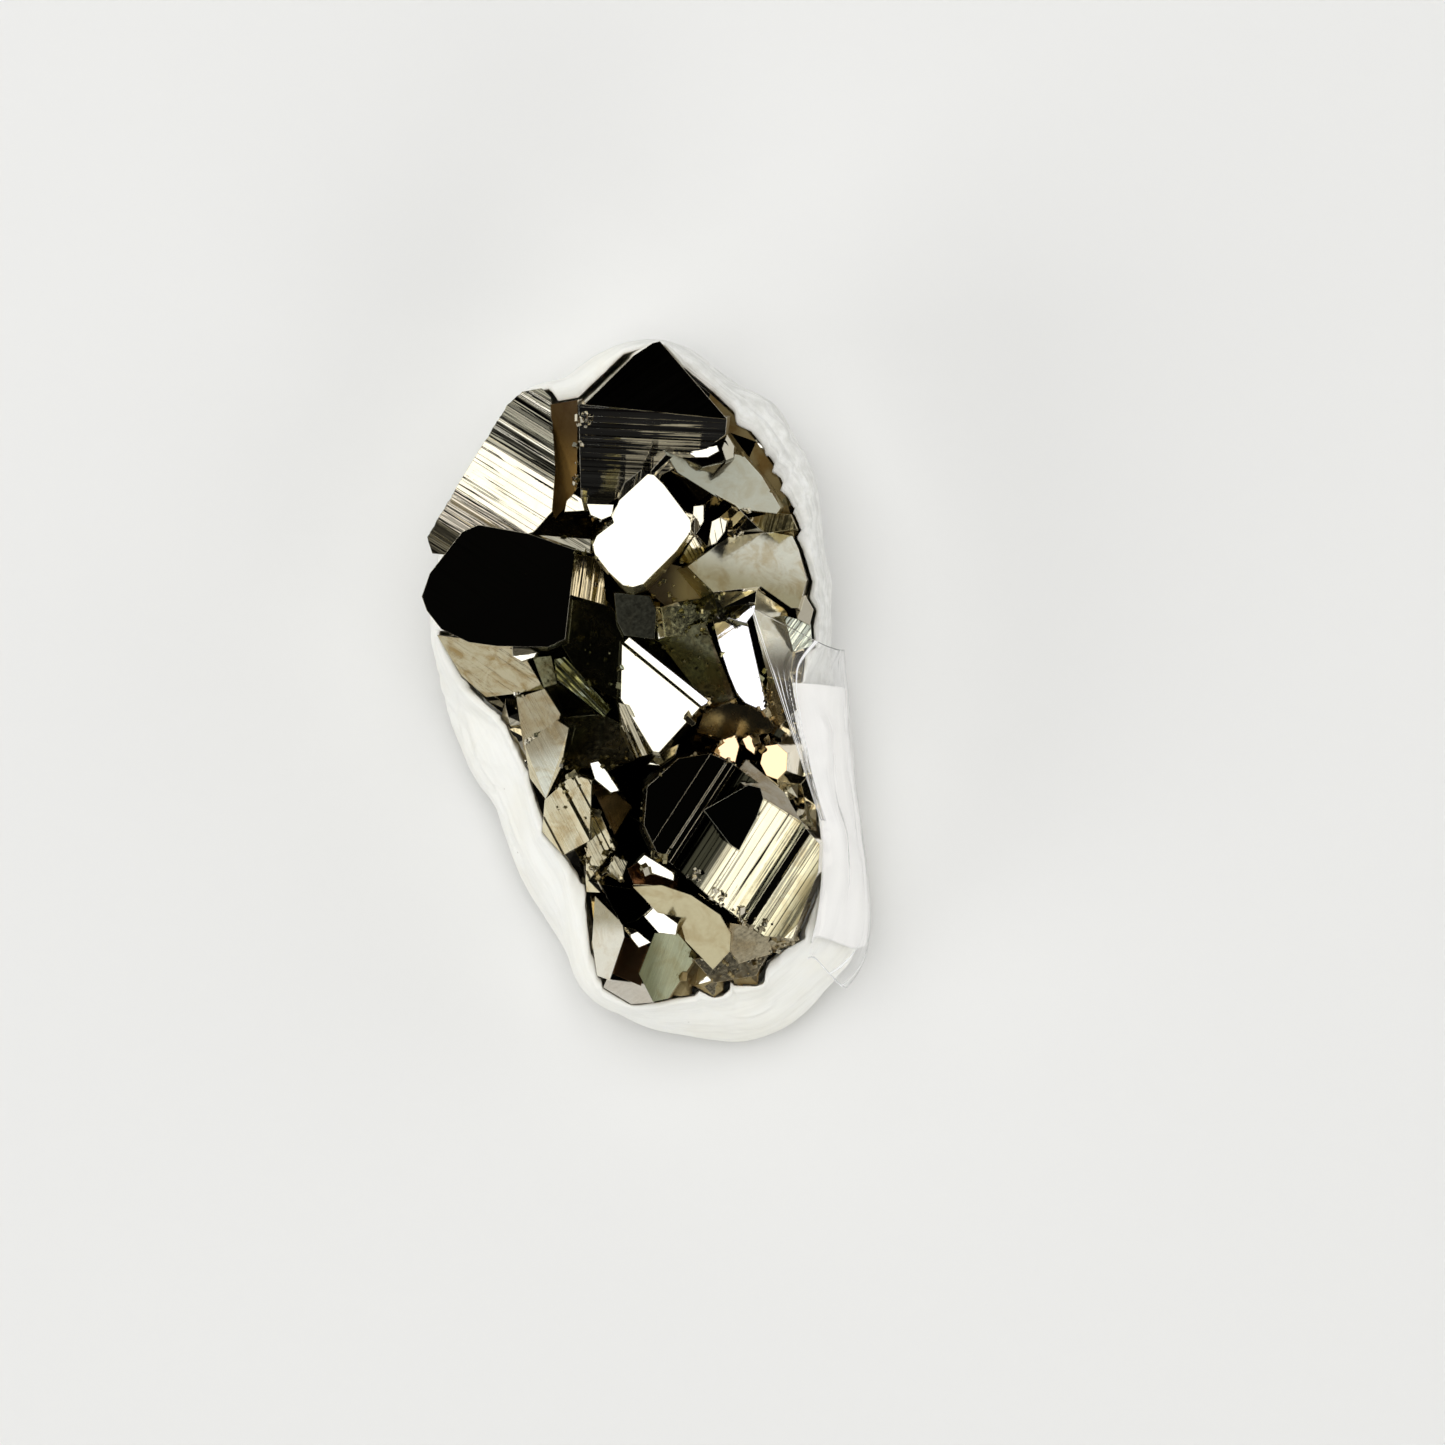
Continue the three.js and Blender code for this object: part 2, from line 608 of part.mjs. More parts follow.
const CRYSTAL_EDGE = [
  [1.5, 35.2], [5.0, 32.6], [9.3, 28.7], [12.4, 24.9], [14.4, 21.5], [15.0, 18.0],
  [15.9, 16.2], [16.7, 12.4], [17.0, 6.7], [16.2, 1.4], [17.0, -6.5], [18.0, -13.2],
  [17.8, -19.3], [16.6, -24.4], [13.4, -27.4], [10.3, -29.2], [6.8, -30.2], [2.7, -30.8],
  [-0.4, -31.5], [-4.0, -30.3], [-5.2, -28.8], [-5.7, -24.4], [-6.3, -19.8],
  [-9.1, -15.7], [-10.6, -13.2], [-11.6, -9.1], [-13.1, -5.5], [-14.6, -2.2],
  [-16.4, -0.7], [-18.9, 2.2], [-20.3, 5.0], [-20.2, 8.0], [-19.4, 12.0], [-19.4, 16.0],
  [-17.0, 19.6], [-13.0, 24.6], [-9.6, 28.0], [-7.4, 29.4], [-3.4, 32.0], [-0.6, 34.4],
];
// Height of the padding's upper edge round the specimen: angle in degrees, height.
const WRAP_TOP = [
  [-180, 14.0], [-150, 13.6], [-130, 13.2], [-110, 12.6], [-92, 11.8], [-78, 11.6],
  [-62, 12.6], [-50, 13.6], [-35, 14.6], [-20, 14.8], [0, 15.2], [20, 16.0], [35, 16.8],
  [50, 18.4], [65, 19.8], [80, 20.6], [92, 20.4], [104, 17.0], [120, 14.6], [140, 13.6],
  [160, 13.6], [180, 14.0],
];

function between(table, x) {
  for (let i = 1; i < table.length; i += 1) {
    if (x <= table[i][0]) {
      const t = (x - table[i - 1][0]) / (table[i][0] - table[i - 1][0]);
      return table[i - 1][1] + t * (table[i][1] - table[i - 1][1]);
    }
  }
  return table[table.length - 1][1];
}

// Distance from CENTRE to the farthest of some edges in the direction of an angle.
function farthest(edges, angle) {
  const dx = Math.cos(angle);
  const dy = Math.sin(angle);
  let best = 0;
  edges.forEach(([a, b]) => {
    const ax = a[0] - CENTRE[0];
    const ay = a[1] - CENTRE[1];
    const ex = b[0] - a[0];
    const ey = b[1] - a[1];
    const cross = dx * ey - dy * ex;
    if (Math.abs(cross) > 1e-9) {
      const r = (ax * ey - ay * ex) / cross;
      const s = (ax * dy - ay * dx) / cross;
      if (r > 0 && s >= -1e-6 && s <= 1 + 1e-6) {
        best = Math.max(best, r);
      }
    }
  });
  return best;
}

function reach(outline, angle) {
  return farthest(outline.map((a, i) => [a, outline[(i + 1) % outline.length]]), angle);
}

// The solid inside a closed geometry.
function solidOf(geometry) {
  const shell = geometry.clone();
  shell.deleteAttribute('normal');
  shell.deleteAttribute('uv');
  const merged = mergeVertices(shell, MERGE);
  const mesh = new wasm.Mesh({
    numProp: 3,
    vertProperties: merged.attributes.position.array,
    triVerts: new Uint32Array(merged.index.array),
  });
  return new Manifold(mesh);
}

// The solid inside a closed surface of points and the triangles between them.
function solid(points, tris) {
  const geometry = new THREE.BufferGeometry();
  geometry.setAttribute('position', new THREE.Float32BufferAttribute(points.flat(), 3));
  geometry.setIndex(tris);
  return solidOf(geometry);
}

function cut(body, normal, offset) {
  return body.trimByPlane([-normal.x, -normal.y, -normal.z], -offset);
}

// Growth lines: a bar whose upper side is a flight of narrow bands of unequal width,
// depth and slope, laid along the face.
function grooveBar(normal, origin, groove) {
  const a = groove.along * RAD;
  const along = new THREE.Vector3(Math.cos(a), Math.sin(a), 0);
  along.z = -(normal.x * along.x + normal.y * along.y) / normal.z;
  along.normalize();
  const across = new THREE.Vector3().crossVectors(along, normal);
  const random = dice(groove.seed);
  const bend = groove.bend ?? [[-24, 0], [24, 0]];
  const span = 24;
  const upper = [];
  let sag = 0;
  let u = -span;
  while (u < span) {
    const calm = groove.smooth && u > groove.smooth[0] && u < groove.smooth[1] ? 0.15 : 1;
    const level = -groove.depth * random() * calm;
    const swing = 2 * random() - 1;
    const even = Math.abs(swing) < 0.25;
    const slant = even ? swing : Math.sign(swing) * (0.5 + 0.5 * Math.abs(swing));
    const width = groove.width * (0.45 + 1.25 * random()) * (even && calm === 1 ? 0.5 : 1);
    const tip = (width / 2) * Math.tan(groove.slope * RAD * slant * calm);
    upper.push([u, sag + Math.min(0, level + tip)]);
    sag -= width * Math.tan(between(bend, u + width / 2) * RAD);
    upper.push([u + width, sag + Math.min(0, level - tip)]);
    u += width;
  }
  const outline = corners([[-span, -30], [u, -30], ...upper.reverse()]);
  const shape = new THREE.Shape(outline.map(([x, y]) => new THREE.Vector2(x, y)));
  const bar = new THREE.ExtrudeGeometry(shape, { depth: 90, bevelEnabled: false });
  bar.translate(0, 0, -45);
  const place = new THREE.Matrix4().makeBasis(across, normal, along.clone().negate());
  place.setPosition(origin);
  return solidOf(bar.applyMatrix4(place));
}

// An outline without its doubled points and those on a straight line.
function corners(outline) {
  const apart = outline.filter((p, i) => {
    const last = outline[(i + outline.length - 1) % outline.length];
    return Math.hypot(p[0] - last[0], p[1] - last[1]) > 2e-3;
  });
  return apart.filter((p, i) => {
    const [a, b] = [apart[(i + apart.length - 1) % apart.length], apart[(i + 1) % apart.length]];
    return Math.abs((p[0] - a[0]) * (b[1] - a[1]) - (p[1] - a[1]) * (b[0] - a[0])) > 1e-4;
  });
}

// One crystal: a block under its main face with sides that drop from every edge.
function crystal(face) {
  const normal = leaning(face.lean[0], face.lean[1]);
  const origin = new THREE.Vector3(...face.at);
  const plane = (x, y) => {
    const drop = (normal.x * (x - origin.x) + normal.y * (y - origin.y)) / normal.z;
    return new THREE.Vector3(x, y, origin.z - drop);
  };
  const ring = face.corners.map(([x, y]) => plane(x, y));
  const middle = new THREE.Vector3();
  ring.forEach((p) => middle.addScaledVector(p, 1 / ring.length));
  let body = solidOf(new THREE.BoxGeometry(60, 60, 60).translate(middle.x, middle.y, middle.z));
  body = cut(body, normal, normal.dot(origin));
  for (let k = 0; k < ring.length; k += 1) {
    const from = ring[k];
    const to = ring[(k + 1) % ring.length];
    const edge = new THREE.Vector3().subVectors(to, from).normalize();
    const out = new THREE.Vector3().crossVectors(edge, normal).normalize();
    if (out.dot(new THREE.Vector3().subVectors(middle, from)) > 0) {
      out.negate();
    }
    const steep = (Array.isArray(face.sides) ? face.sides[k] : face.sides ?? 87) * RAD;
    const size = Math.hypot(normal.z, out.z);
    const turn = Math.atan2(out.z, normal.z) + Math.acos(Math.max(-1, Math.min(1, Math.cos(steep) / size)));
    const side = normal.clone().multiplyScalar(Math.cos(turn)).addScaledVector(out, Math.sin(turn));
    body = cut(body, side, side.dot(from));
  }
  const floor = new THREE.Vector3(0, 0, -1);
  body = cut(body, floor, -(middle.z - ROOT_DEPTH));
  if (face.groove) {
    body = body.intersect(grooveBar(normal, origin, face.groove));
  }
  return body;
}

// One rough lump: the hull of scattered points.
function lump([x, y, top, size], seed) {
  const random = dice(900 + seed * 17);
  const points = [];
  for (let i = 0; i < 15; i += 1) {
    const a = (i / 15) * 6 * Math.PI + random() * 1.2;
    const h = -1 + (2 * (i + 0.5)) / 15;
    const flat = Math.sqrt(1 - h * h);
    const r = size * (0.78 + 0.3 * random());
    const low = h < 0 ? 1.9 : 0.85;
    const level = top - size + r * h * low;
    points.push(new THREE.Vector3(x + r * flat * Math.cos(a), y + r * flat * Math.sin(a), level));
  }
  return solidOf(new ConvexGeometry(points));
}

// The base: a broken block that narrows to its flat foot. Its rim rises all round to the
// padding's upper edge, and it is lower in the middle.
function base() {
  const random = dice(5);
  const count = 60;
  const rings = [
    [0.0, 0.8, 0], [0.1, 0.86, 0.9], [0.35, 0.9, 0.9], [0.62, 0.935, 0.8], [0.86, 0.965, 0.4],
    [0.985, 0.965, 0.3], [0.99, 0.9, 0.8], [0.86, 0.78, 0.8],
  ];
  const points = [];
  rings.forEach(([level, part, roughness], j) => {
    for (let i = 0; i < count; i += 1) {
      const angle = (i / count) * 2 * Math.PI;
      const turn = angle > Math.PI ? angle - 2 * Math.PI : angle;
      const edge = Math.min(reach(CRYSTAL_EDGE, angle), reach(WRAP_EDGE, angle) - 1.1);
      const r = edge * part + (random() - 0.5) * roughness;
      const high = between(WRAP_TOP, turn / RAD) * level + (j > 4 ? (random() - 0.5) * 0.7 : 0);
      points.push([CENTRE[0] + r * Math.cos(angle), CENTRE[1] + r * Math.sin(angle), high]);
    }
  });
  const top = points.length;
  points.push([CENTRE[0], CENTRE[1], 13.5]);
  const foot = points.length;
  points.push([CENTRE[0], CENTRE[1], 0]);
  const tris = [];
  for (let j = 0; j + 1 < rings.length; j += 1) {
    for (let i = 0; i < count; i += 1) {
      const a = j * count + i;
      const b = j * count + ((i + 1) % count);
      tris.push(a, b, b + count, a, b + count, a + count);
    }
  }
  for (let i = 0; i < count; i += 1) {
    const last = (rings.length - 1) * count;
    tris.push(last + i, last + ((i + 1) % count), top);
    tris.push((i + 1) % count, i, foot);
  }
  return solid(points, tris);
}

function largest(body) {
  return body.decompose().sort((a, b) => b.volume() - a.volume())[0];
}

function specimen() {
  const parts = [base()];
  FACES.forEach((face) => parts.push(crystal(face)));
  LUMPS.forEach((place, i) => parts.push(lump(place, i)));
  const grown = parts.reduce((whole, part) => whole.add(part));
  return largest(cut(grown, new THREE.Vector3(0, 0, -1), 0));
}

// The padding's outside: t runs from its foot (0) to its upper edge (1).
function wrapSkin(angle, t, calm) {
  const foot = reach(WRAP_EDGE, angle);
  const rim = Math.min(reach(CRYSTAL_EDGE, angle), foot - 0.25);
  const top = between(WRAP_TOP, angle / RAD);
  const bulge = 0.5 * Math.sin(Math.PI * Math.min(1, t * 1.05));
  const wide = 0.22 * Math.sin(angle * 23 + 5 * t) * Math.sin(angle * 7 + 1) * (0.4 + t);
  const fold = (1 - calm) * (wide + 0.14 * Math.sin(angle * 41 - 9 * t));
  const inward = t ** (1.25 + 1.2 * calm);
  const r = foot + (rim + 0.4 - foot) * inward + bulge + fold * Math.sin(Math.PI * Math.min(1, t + 0.12));
  const z = WRAP_FOOT + 0.9 + (top - WRAP_FOOT - 0.9) * t;
  return new THREE.Vector3(CENTRE[0] + r * Math.cos(angle), CENTRE[1] + r * Math.sin(angle), z);
}

// How far the strip draws the padding smooth and round: 1 under it, 0 away from it.
function labelled(angle) {
  const degrees = angle / RAD;
  return Math.max(0, Math.min(1, (degrees + 62) / 10, (12 - degrees) / 10));
}

// The edges where a solid's faces cross a height, seen from above.
function slice(body, z) {
  const { vertProperties: p, triVerts, numProp } = body.getMesh();
  const edges = [];
  for (let i = 0; i < triVerts.length; i += 3) {
    const corner = [0, 1, 2].map((k) => triVerts[i + k] * numProp);
    const over = corner.map((c) => p[c + 2] > z);
    if (over[0] !== over[1] || over[1] !== over[2]) {
      const edge = [];
      corner.forEach((a, k) => {
        const b = corner[(k + 1) % 3];
        if (over[k] !== over[(k + 1) % 3]) {
          const t = (z - p[a + 2]) / (p[b + 2] - p[a + 2]);
          edge.push([p[a] + t * (p[b] - p[a]), p[a + 1] + t * (p[b + 1] - p[a + 1])]);
        }
      });
      edges.push(edge);
    }
  }
  return edges;
}

// How far the specimen reaches from the centre line between two heights at one section,
// with the neighbours beside it, so that a surface laid through the sections stays clear.
function girth(body) {
  const levels = [];
  const size = WRAP_COUNT * 3;
  for (let z = WRAP_FOOT - LEVEL; z < 23; z += LEVEL) {
    const edges = slice(body, z);
    levels.push(Array.from({ length: size }, (_, i) => farthest(edges, -Math.PI + (i / size) * 2 * Math.PI)));
  }
  return (i, low, high) => {
    const from = Math.max(0, Math.floor((low - WRAP_FOOT) / LEVEL));
    const to = Math.min(levels.length - 1, Math.ceil((high - WRAP_FOOT) / LEVEL) + 1);
    let most = 0;
    for (let k = from; k <= to; k += 1) {
      for (let d = -3; d <= 3; d += 1) {
        most = Math.max(most, levels[k][(i * 3 + d + size) % size]);
      }
    }
    return most + FIT_GAP;
  };
}

// One section of the padding: rows of outer radius, height and inner radius.
function section(inside, i) {
  const angle = -Math.PI + (i / WRAP_COUNT) * 2 * Math.PI;
  const skin = STEPS.map((t) => wrapSkin(angle, t, labelled(angle)));
  return skin.map((p, k) => {
    const low = skin[Math.max(0, k - 1)].z;
    const high = skin[Math.min(skin.length - 1, k + 1)].z;
    const least = inside(i, k === 0 ? 0 : low, high);
    const thin = k === skin.length - 1 ? 0.3 : 0.7;
    return [Math.max(Math.hypot(p.x - CENTRE[0], p.y - CENTRE[1]), least + thin), p.z, least];
  });
}

function wrap(sections) {
  const loops = sections.map((rows, i) => {
    const angle = -Math.PI + (i / WRAP_COUNT) * 2 * Math.PI;
    const at = (r, z) => [CENTRE[0] + r * Math.cos(angle), CENTRE[1] + r * Math.sin(angle), z];
    const outer = rows.map(([r, z]) => at(r, z));
    const inner = rows.map(([, z, least], k) => at(least, k === rows.length - 1 ? z - 0.15 : z));
    const least = rows[0][2];
    const foot = Math.max(rows[0][0] - 0.6, least + 0.4);
    return [at(least, WRAP_FOOT), at(foot, WRAP_FOOT), ...outer, ...inner.reverse()];
  });
  const size = loops[0].length;
  const tris = [];
  for (let i = 0; i < WRAP_COUNT; i += 1) {
    for (let j = 0; j < size; j += 1) {
      const a = i * size + j;
      const b = ((i + 1) % WRAP_COUNT) * size + j;
      const c = ((i + 1) % WRAP_COUNT) * size + ((j + 1) % size);
      const d = i * size + ((j + 1) % size);
      tris.push(a, b, c, a, c, d);
    }
  }
  return solid(loops.flat(), tris);
}

// A thin sheet: a grid of points with a thickness towards its outside.
function sheet(rows, cols, point, thick) {
  const grid = [];
  for (let i = 0; i <= rows; i += 1) {
    for (let j = 0; j <= cols; j += 1) {
      grid.push(point(i / rows, j / cols));
    }
  }
  const at = (i, j) => grid[Math.max(0, Math.min(rows, i)) * (cols + 1) + Math.max(0, Math.min(cols, j))];
  const outer = [];
  for (let i = 0; i <= rows; i += 1) {
    for (let j = 0; j <= cols; j += 1) {
      const du = new THREE.Vector3().subVectors(at(i + 1, j), at(i - 1, j));
      const dv = new THREE.Vector3().subVectors(at(i, j + 1), at(i, j - 1));
      const n = new THREE.Vector3().crossVectors(du, dv).normalize();
      outer.push(at(i, j).clone().addScaledVector(n, thick));
    }
  }
  const points = [...grid, ...outer].map((p) => p.toArray());
  const shift = grid.length;
  const tris = [];
  const quad = (a, b, c, d) => tris.push(a, b, c, a, c, d);
  for (let i = 0; i < rows; i += 1) {
    for (let j = 0; j < cols; j += 1) {
      const a = i * (cols + 1) + j;
      const b = a + cols + 1;
      quad(a, a + 1, b + 1, b);
      quad(a + shift, b + shift, b + 1 + shift, a + 1 + shift);
    }
  }
  for (let j = 0; j < cols; j += 1) {
    const last = rows * (cols + 1) + j;
    quad(j, j + shift, j + 1 + shift, j + 1);
    quad(last, last + 1, last + 1 + shift, last + shift);
  }
  for (let i = 0; i < rows; i += 1) {
    const a = i * (cols + 1);
    const b = a + cols + 1;
    quad(a, b, b + shift, a + shift);
    quad(a + cols, a + cols + shift, b + cols + shift, b + cols);
  }
  const body = solid(points, tris);
  return body.volume() > 0 ? body : solid(points, tris.slice().reverse());
}

// A point of the padding's outside, evened out over its neighbours, and moved outwards.
function over(sections, angle, t, off) {
  const place = ((angle + Math.PI) / (2 * Math.PI)) * WRAP_COUNT;
  let k = 0;
  while (k < STEPS.length - 2 && t > STEPS[k + 1]) {
    k += 1;
  }
  const part = (t - STEPS[k]) / (STEPS[k + 1] - STEPS[k]);
  let r = off;
  let z = 0;
  for (let d = -1; d <= 2; d += 1) {
    const i = Math.floor(place) + d;
    const weight = Math.max(0, 1 - Math.abs(place - i) / 2) / 2;
    const rows = sections[((i % WRAP_COUNT) + WRAP_COUNT) % WRAP_COUNT];
    r += weight * (rows[k][0] + part * (rows[k + 1][0] - rows[k][0]));
    z += weight * (rows[k][1] + part * (rows[k + 1][1] - rows[k][1]));
  }
  return new THREE.Vector3(CENTRE[0] + r * Math.cos(angle), CENTRE[1] + r * Math.sin(angle), z);
}

// The paper strip lies on the padding from the crystals' edge to near the foot.
function label(sections) {
  const [from, to] = LABEL_ENDS;
  const [low, high] = LABEL_RISE;
  return sheet(12, 4, (u, v) => over(sections, from + (to - from) * u, low + (high - low) * v, 0.92), PAPER);
}

// The clear tape lies over the strip. Above the padding its free edge stands over the
// crystals, highest at its upper end, and beyond the strip it ends in a loose tail.
function tape(sections) {
  const [from, to] = TAPE_ENDS;
  return sheet(26, 7, (u, v) => {
    const angle = from + (to - from) * u;
    const lie = Math.min(1, v / 0.6);
    const wave = 0.12 * Math.sin(u * 31 + v * 7) + 0.08 * Math.sin(u * 57 - v * 11);
    const p = over(sections, angle, 0.07 + 0.93 * lie, 1.6 + wave * (0.2 + 0.8 * v));
    if (v > 0.6) {
      const rise = (v - 0.6) / 0.4;
      const along = Math.min(1, u / 0.62);
      const edge = new THREE.Vector3(...FLAP_FROM).lerp(new THREE.Vector3(...FLAP_TO), along);
      const past = Math.max(0, (u - 0.62) / 0.38);
      const rim = p.clone().add(new THREE.Vector3(-0.3 * Math.cos(angle), -0.3 * Math.sin(angle), 1.6));
      edge.lerp(rim, Math.min(1, past * 2.2));
      p.lerp(edge, rise);
      p.z += 1.3 * Math.sin(Math.PI * rise) * (1 - 0.7 * along) + wave * rise * 1.5;
    }
    return p;
  }, FILM);
}

function toMesh(body, name, colour, metal, rough) {
  const shape = largest(body.asOriginal().simplify(FINEST));
  const { vertProperties, triVerts, numProp } = shape.getMesh();
  const geometry = new THREE.BufferGeometry();
  const xyz = new Float32Array((vertProperties.length / numProp) * 3);
  for (let i = 0; i < xyz.length / 3; i += 1) {
    xyz.set([0, 1, 2].map((k) => vertProperties[i * numProp + k]), i * 3);
  }
  geometry.setAttribute('position', new THREE.BufferAttribute(xyz, 3));
  geometry.setIndex(new THREE.BufferAttribute(new Uint32Array(triVerts), 1));
  const flat = geometry.toNonIndexed();
  flat.computeVertexNormals();
  const material = new THREE.MeshStandardMaterial({ color: colour, metalness: metal, roughness: rough });
  material.flatShading = true;
  const mesh = new THREE.Mesh(flat, material);
  mesh.name = name;
  return mesh;
}

const pyrite = specimen();
const inside = girth(pyrite);
const sections = Array.from({ length: WRAP_COUNT }, (_, i) => section(inside, i));

const group = new THREE.Group();
group.name = 'pyrite_specimen';
group.add(toMesh(pyrite, 'pyrite_cluster', 0xcabf98, 1.0, 0.22));
group.add(toMesh(wrap(sections), 'side_wrap', 0xece9df, 0.0, 0.9));
group.add(toMesh(label(sections), 'paper_label', 0xf4f1f6, 0.0, 0.85));
group.add(toMesh(tape(sections), 'clear_tape', 0xf2f4f5, 0.0, 0.15));

// The origin goes under the middle of the whole thing.
const box = new THREE.Box3().setFromObject(group);
const middle = box.getCenter(new THREE.Vector3());
group.children.forEach((mesh) => mesh.geometry.translate(-middle.x, -middle.y, 0));

export default group;
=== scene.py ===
import math

import bmesh
import bpy
import numpy as np
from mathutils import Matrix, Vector


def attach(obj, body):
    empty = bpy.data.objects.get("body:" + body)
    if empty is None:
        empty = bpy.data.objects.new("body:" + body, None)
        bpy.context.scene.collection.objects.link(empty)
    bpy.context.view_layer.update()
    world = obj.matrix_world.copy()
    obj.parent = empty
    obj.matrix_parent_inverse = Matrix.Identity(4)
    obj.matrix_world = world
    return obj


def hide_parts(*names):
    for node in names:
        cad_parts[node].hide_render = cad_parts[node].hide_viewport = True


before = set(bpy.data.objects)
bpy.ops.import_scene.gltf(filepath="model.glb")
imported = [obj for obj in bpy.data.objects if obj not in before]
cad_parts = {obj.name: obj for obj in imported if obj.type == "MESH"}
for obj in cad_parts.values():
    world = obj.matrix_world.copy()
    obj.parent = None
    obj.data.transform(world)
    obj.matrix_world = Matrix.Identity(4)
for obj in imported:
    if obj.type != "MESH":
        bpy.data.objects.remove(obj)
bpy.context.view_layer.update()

# Pyrite cluster
# One specimen of pyrite: cubes and pyritohedra grown through each other on rough rock.
# Their faces are mirrors of pale brass with growth lines, stained brown where they are old.
MM = 0.001
scene = bpy.context.scene
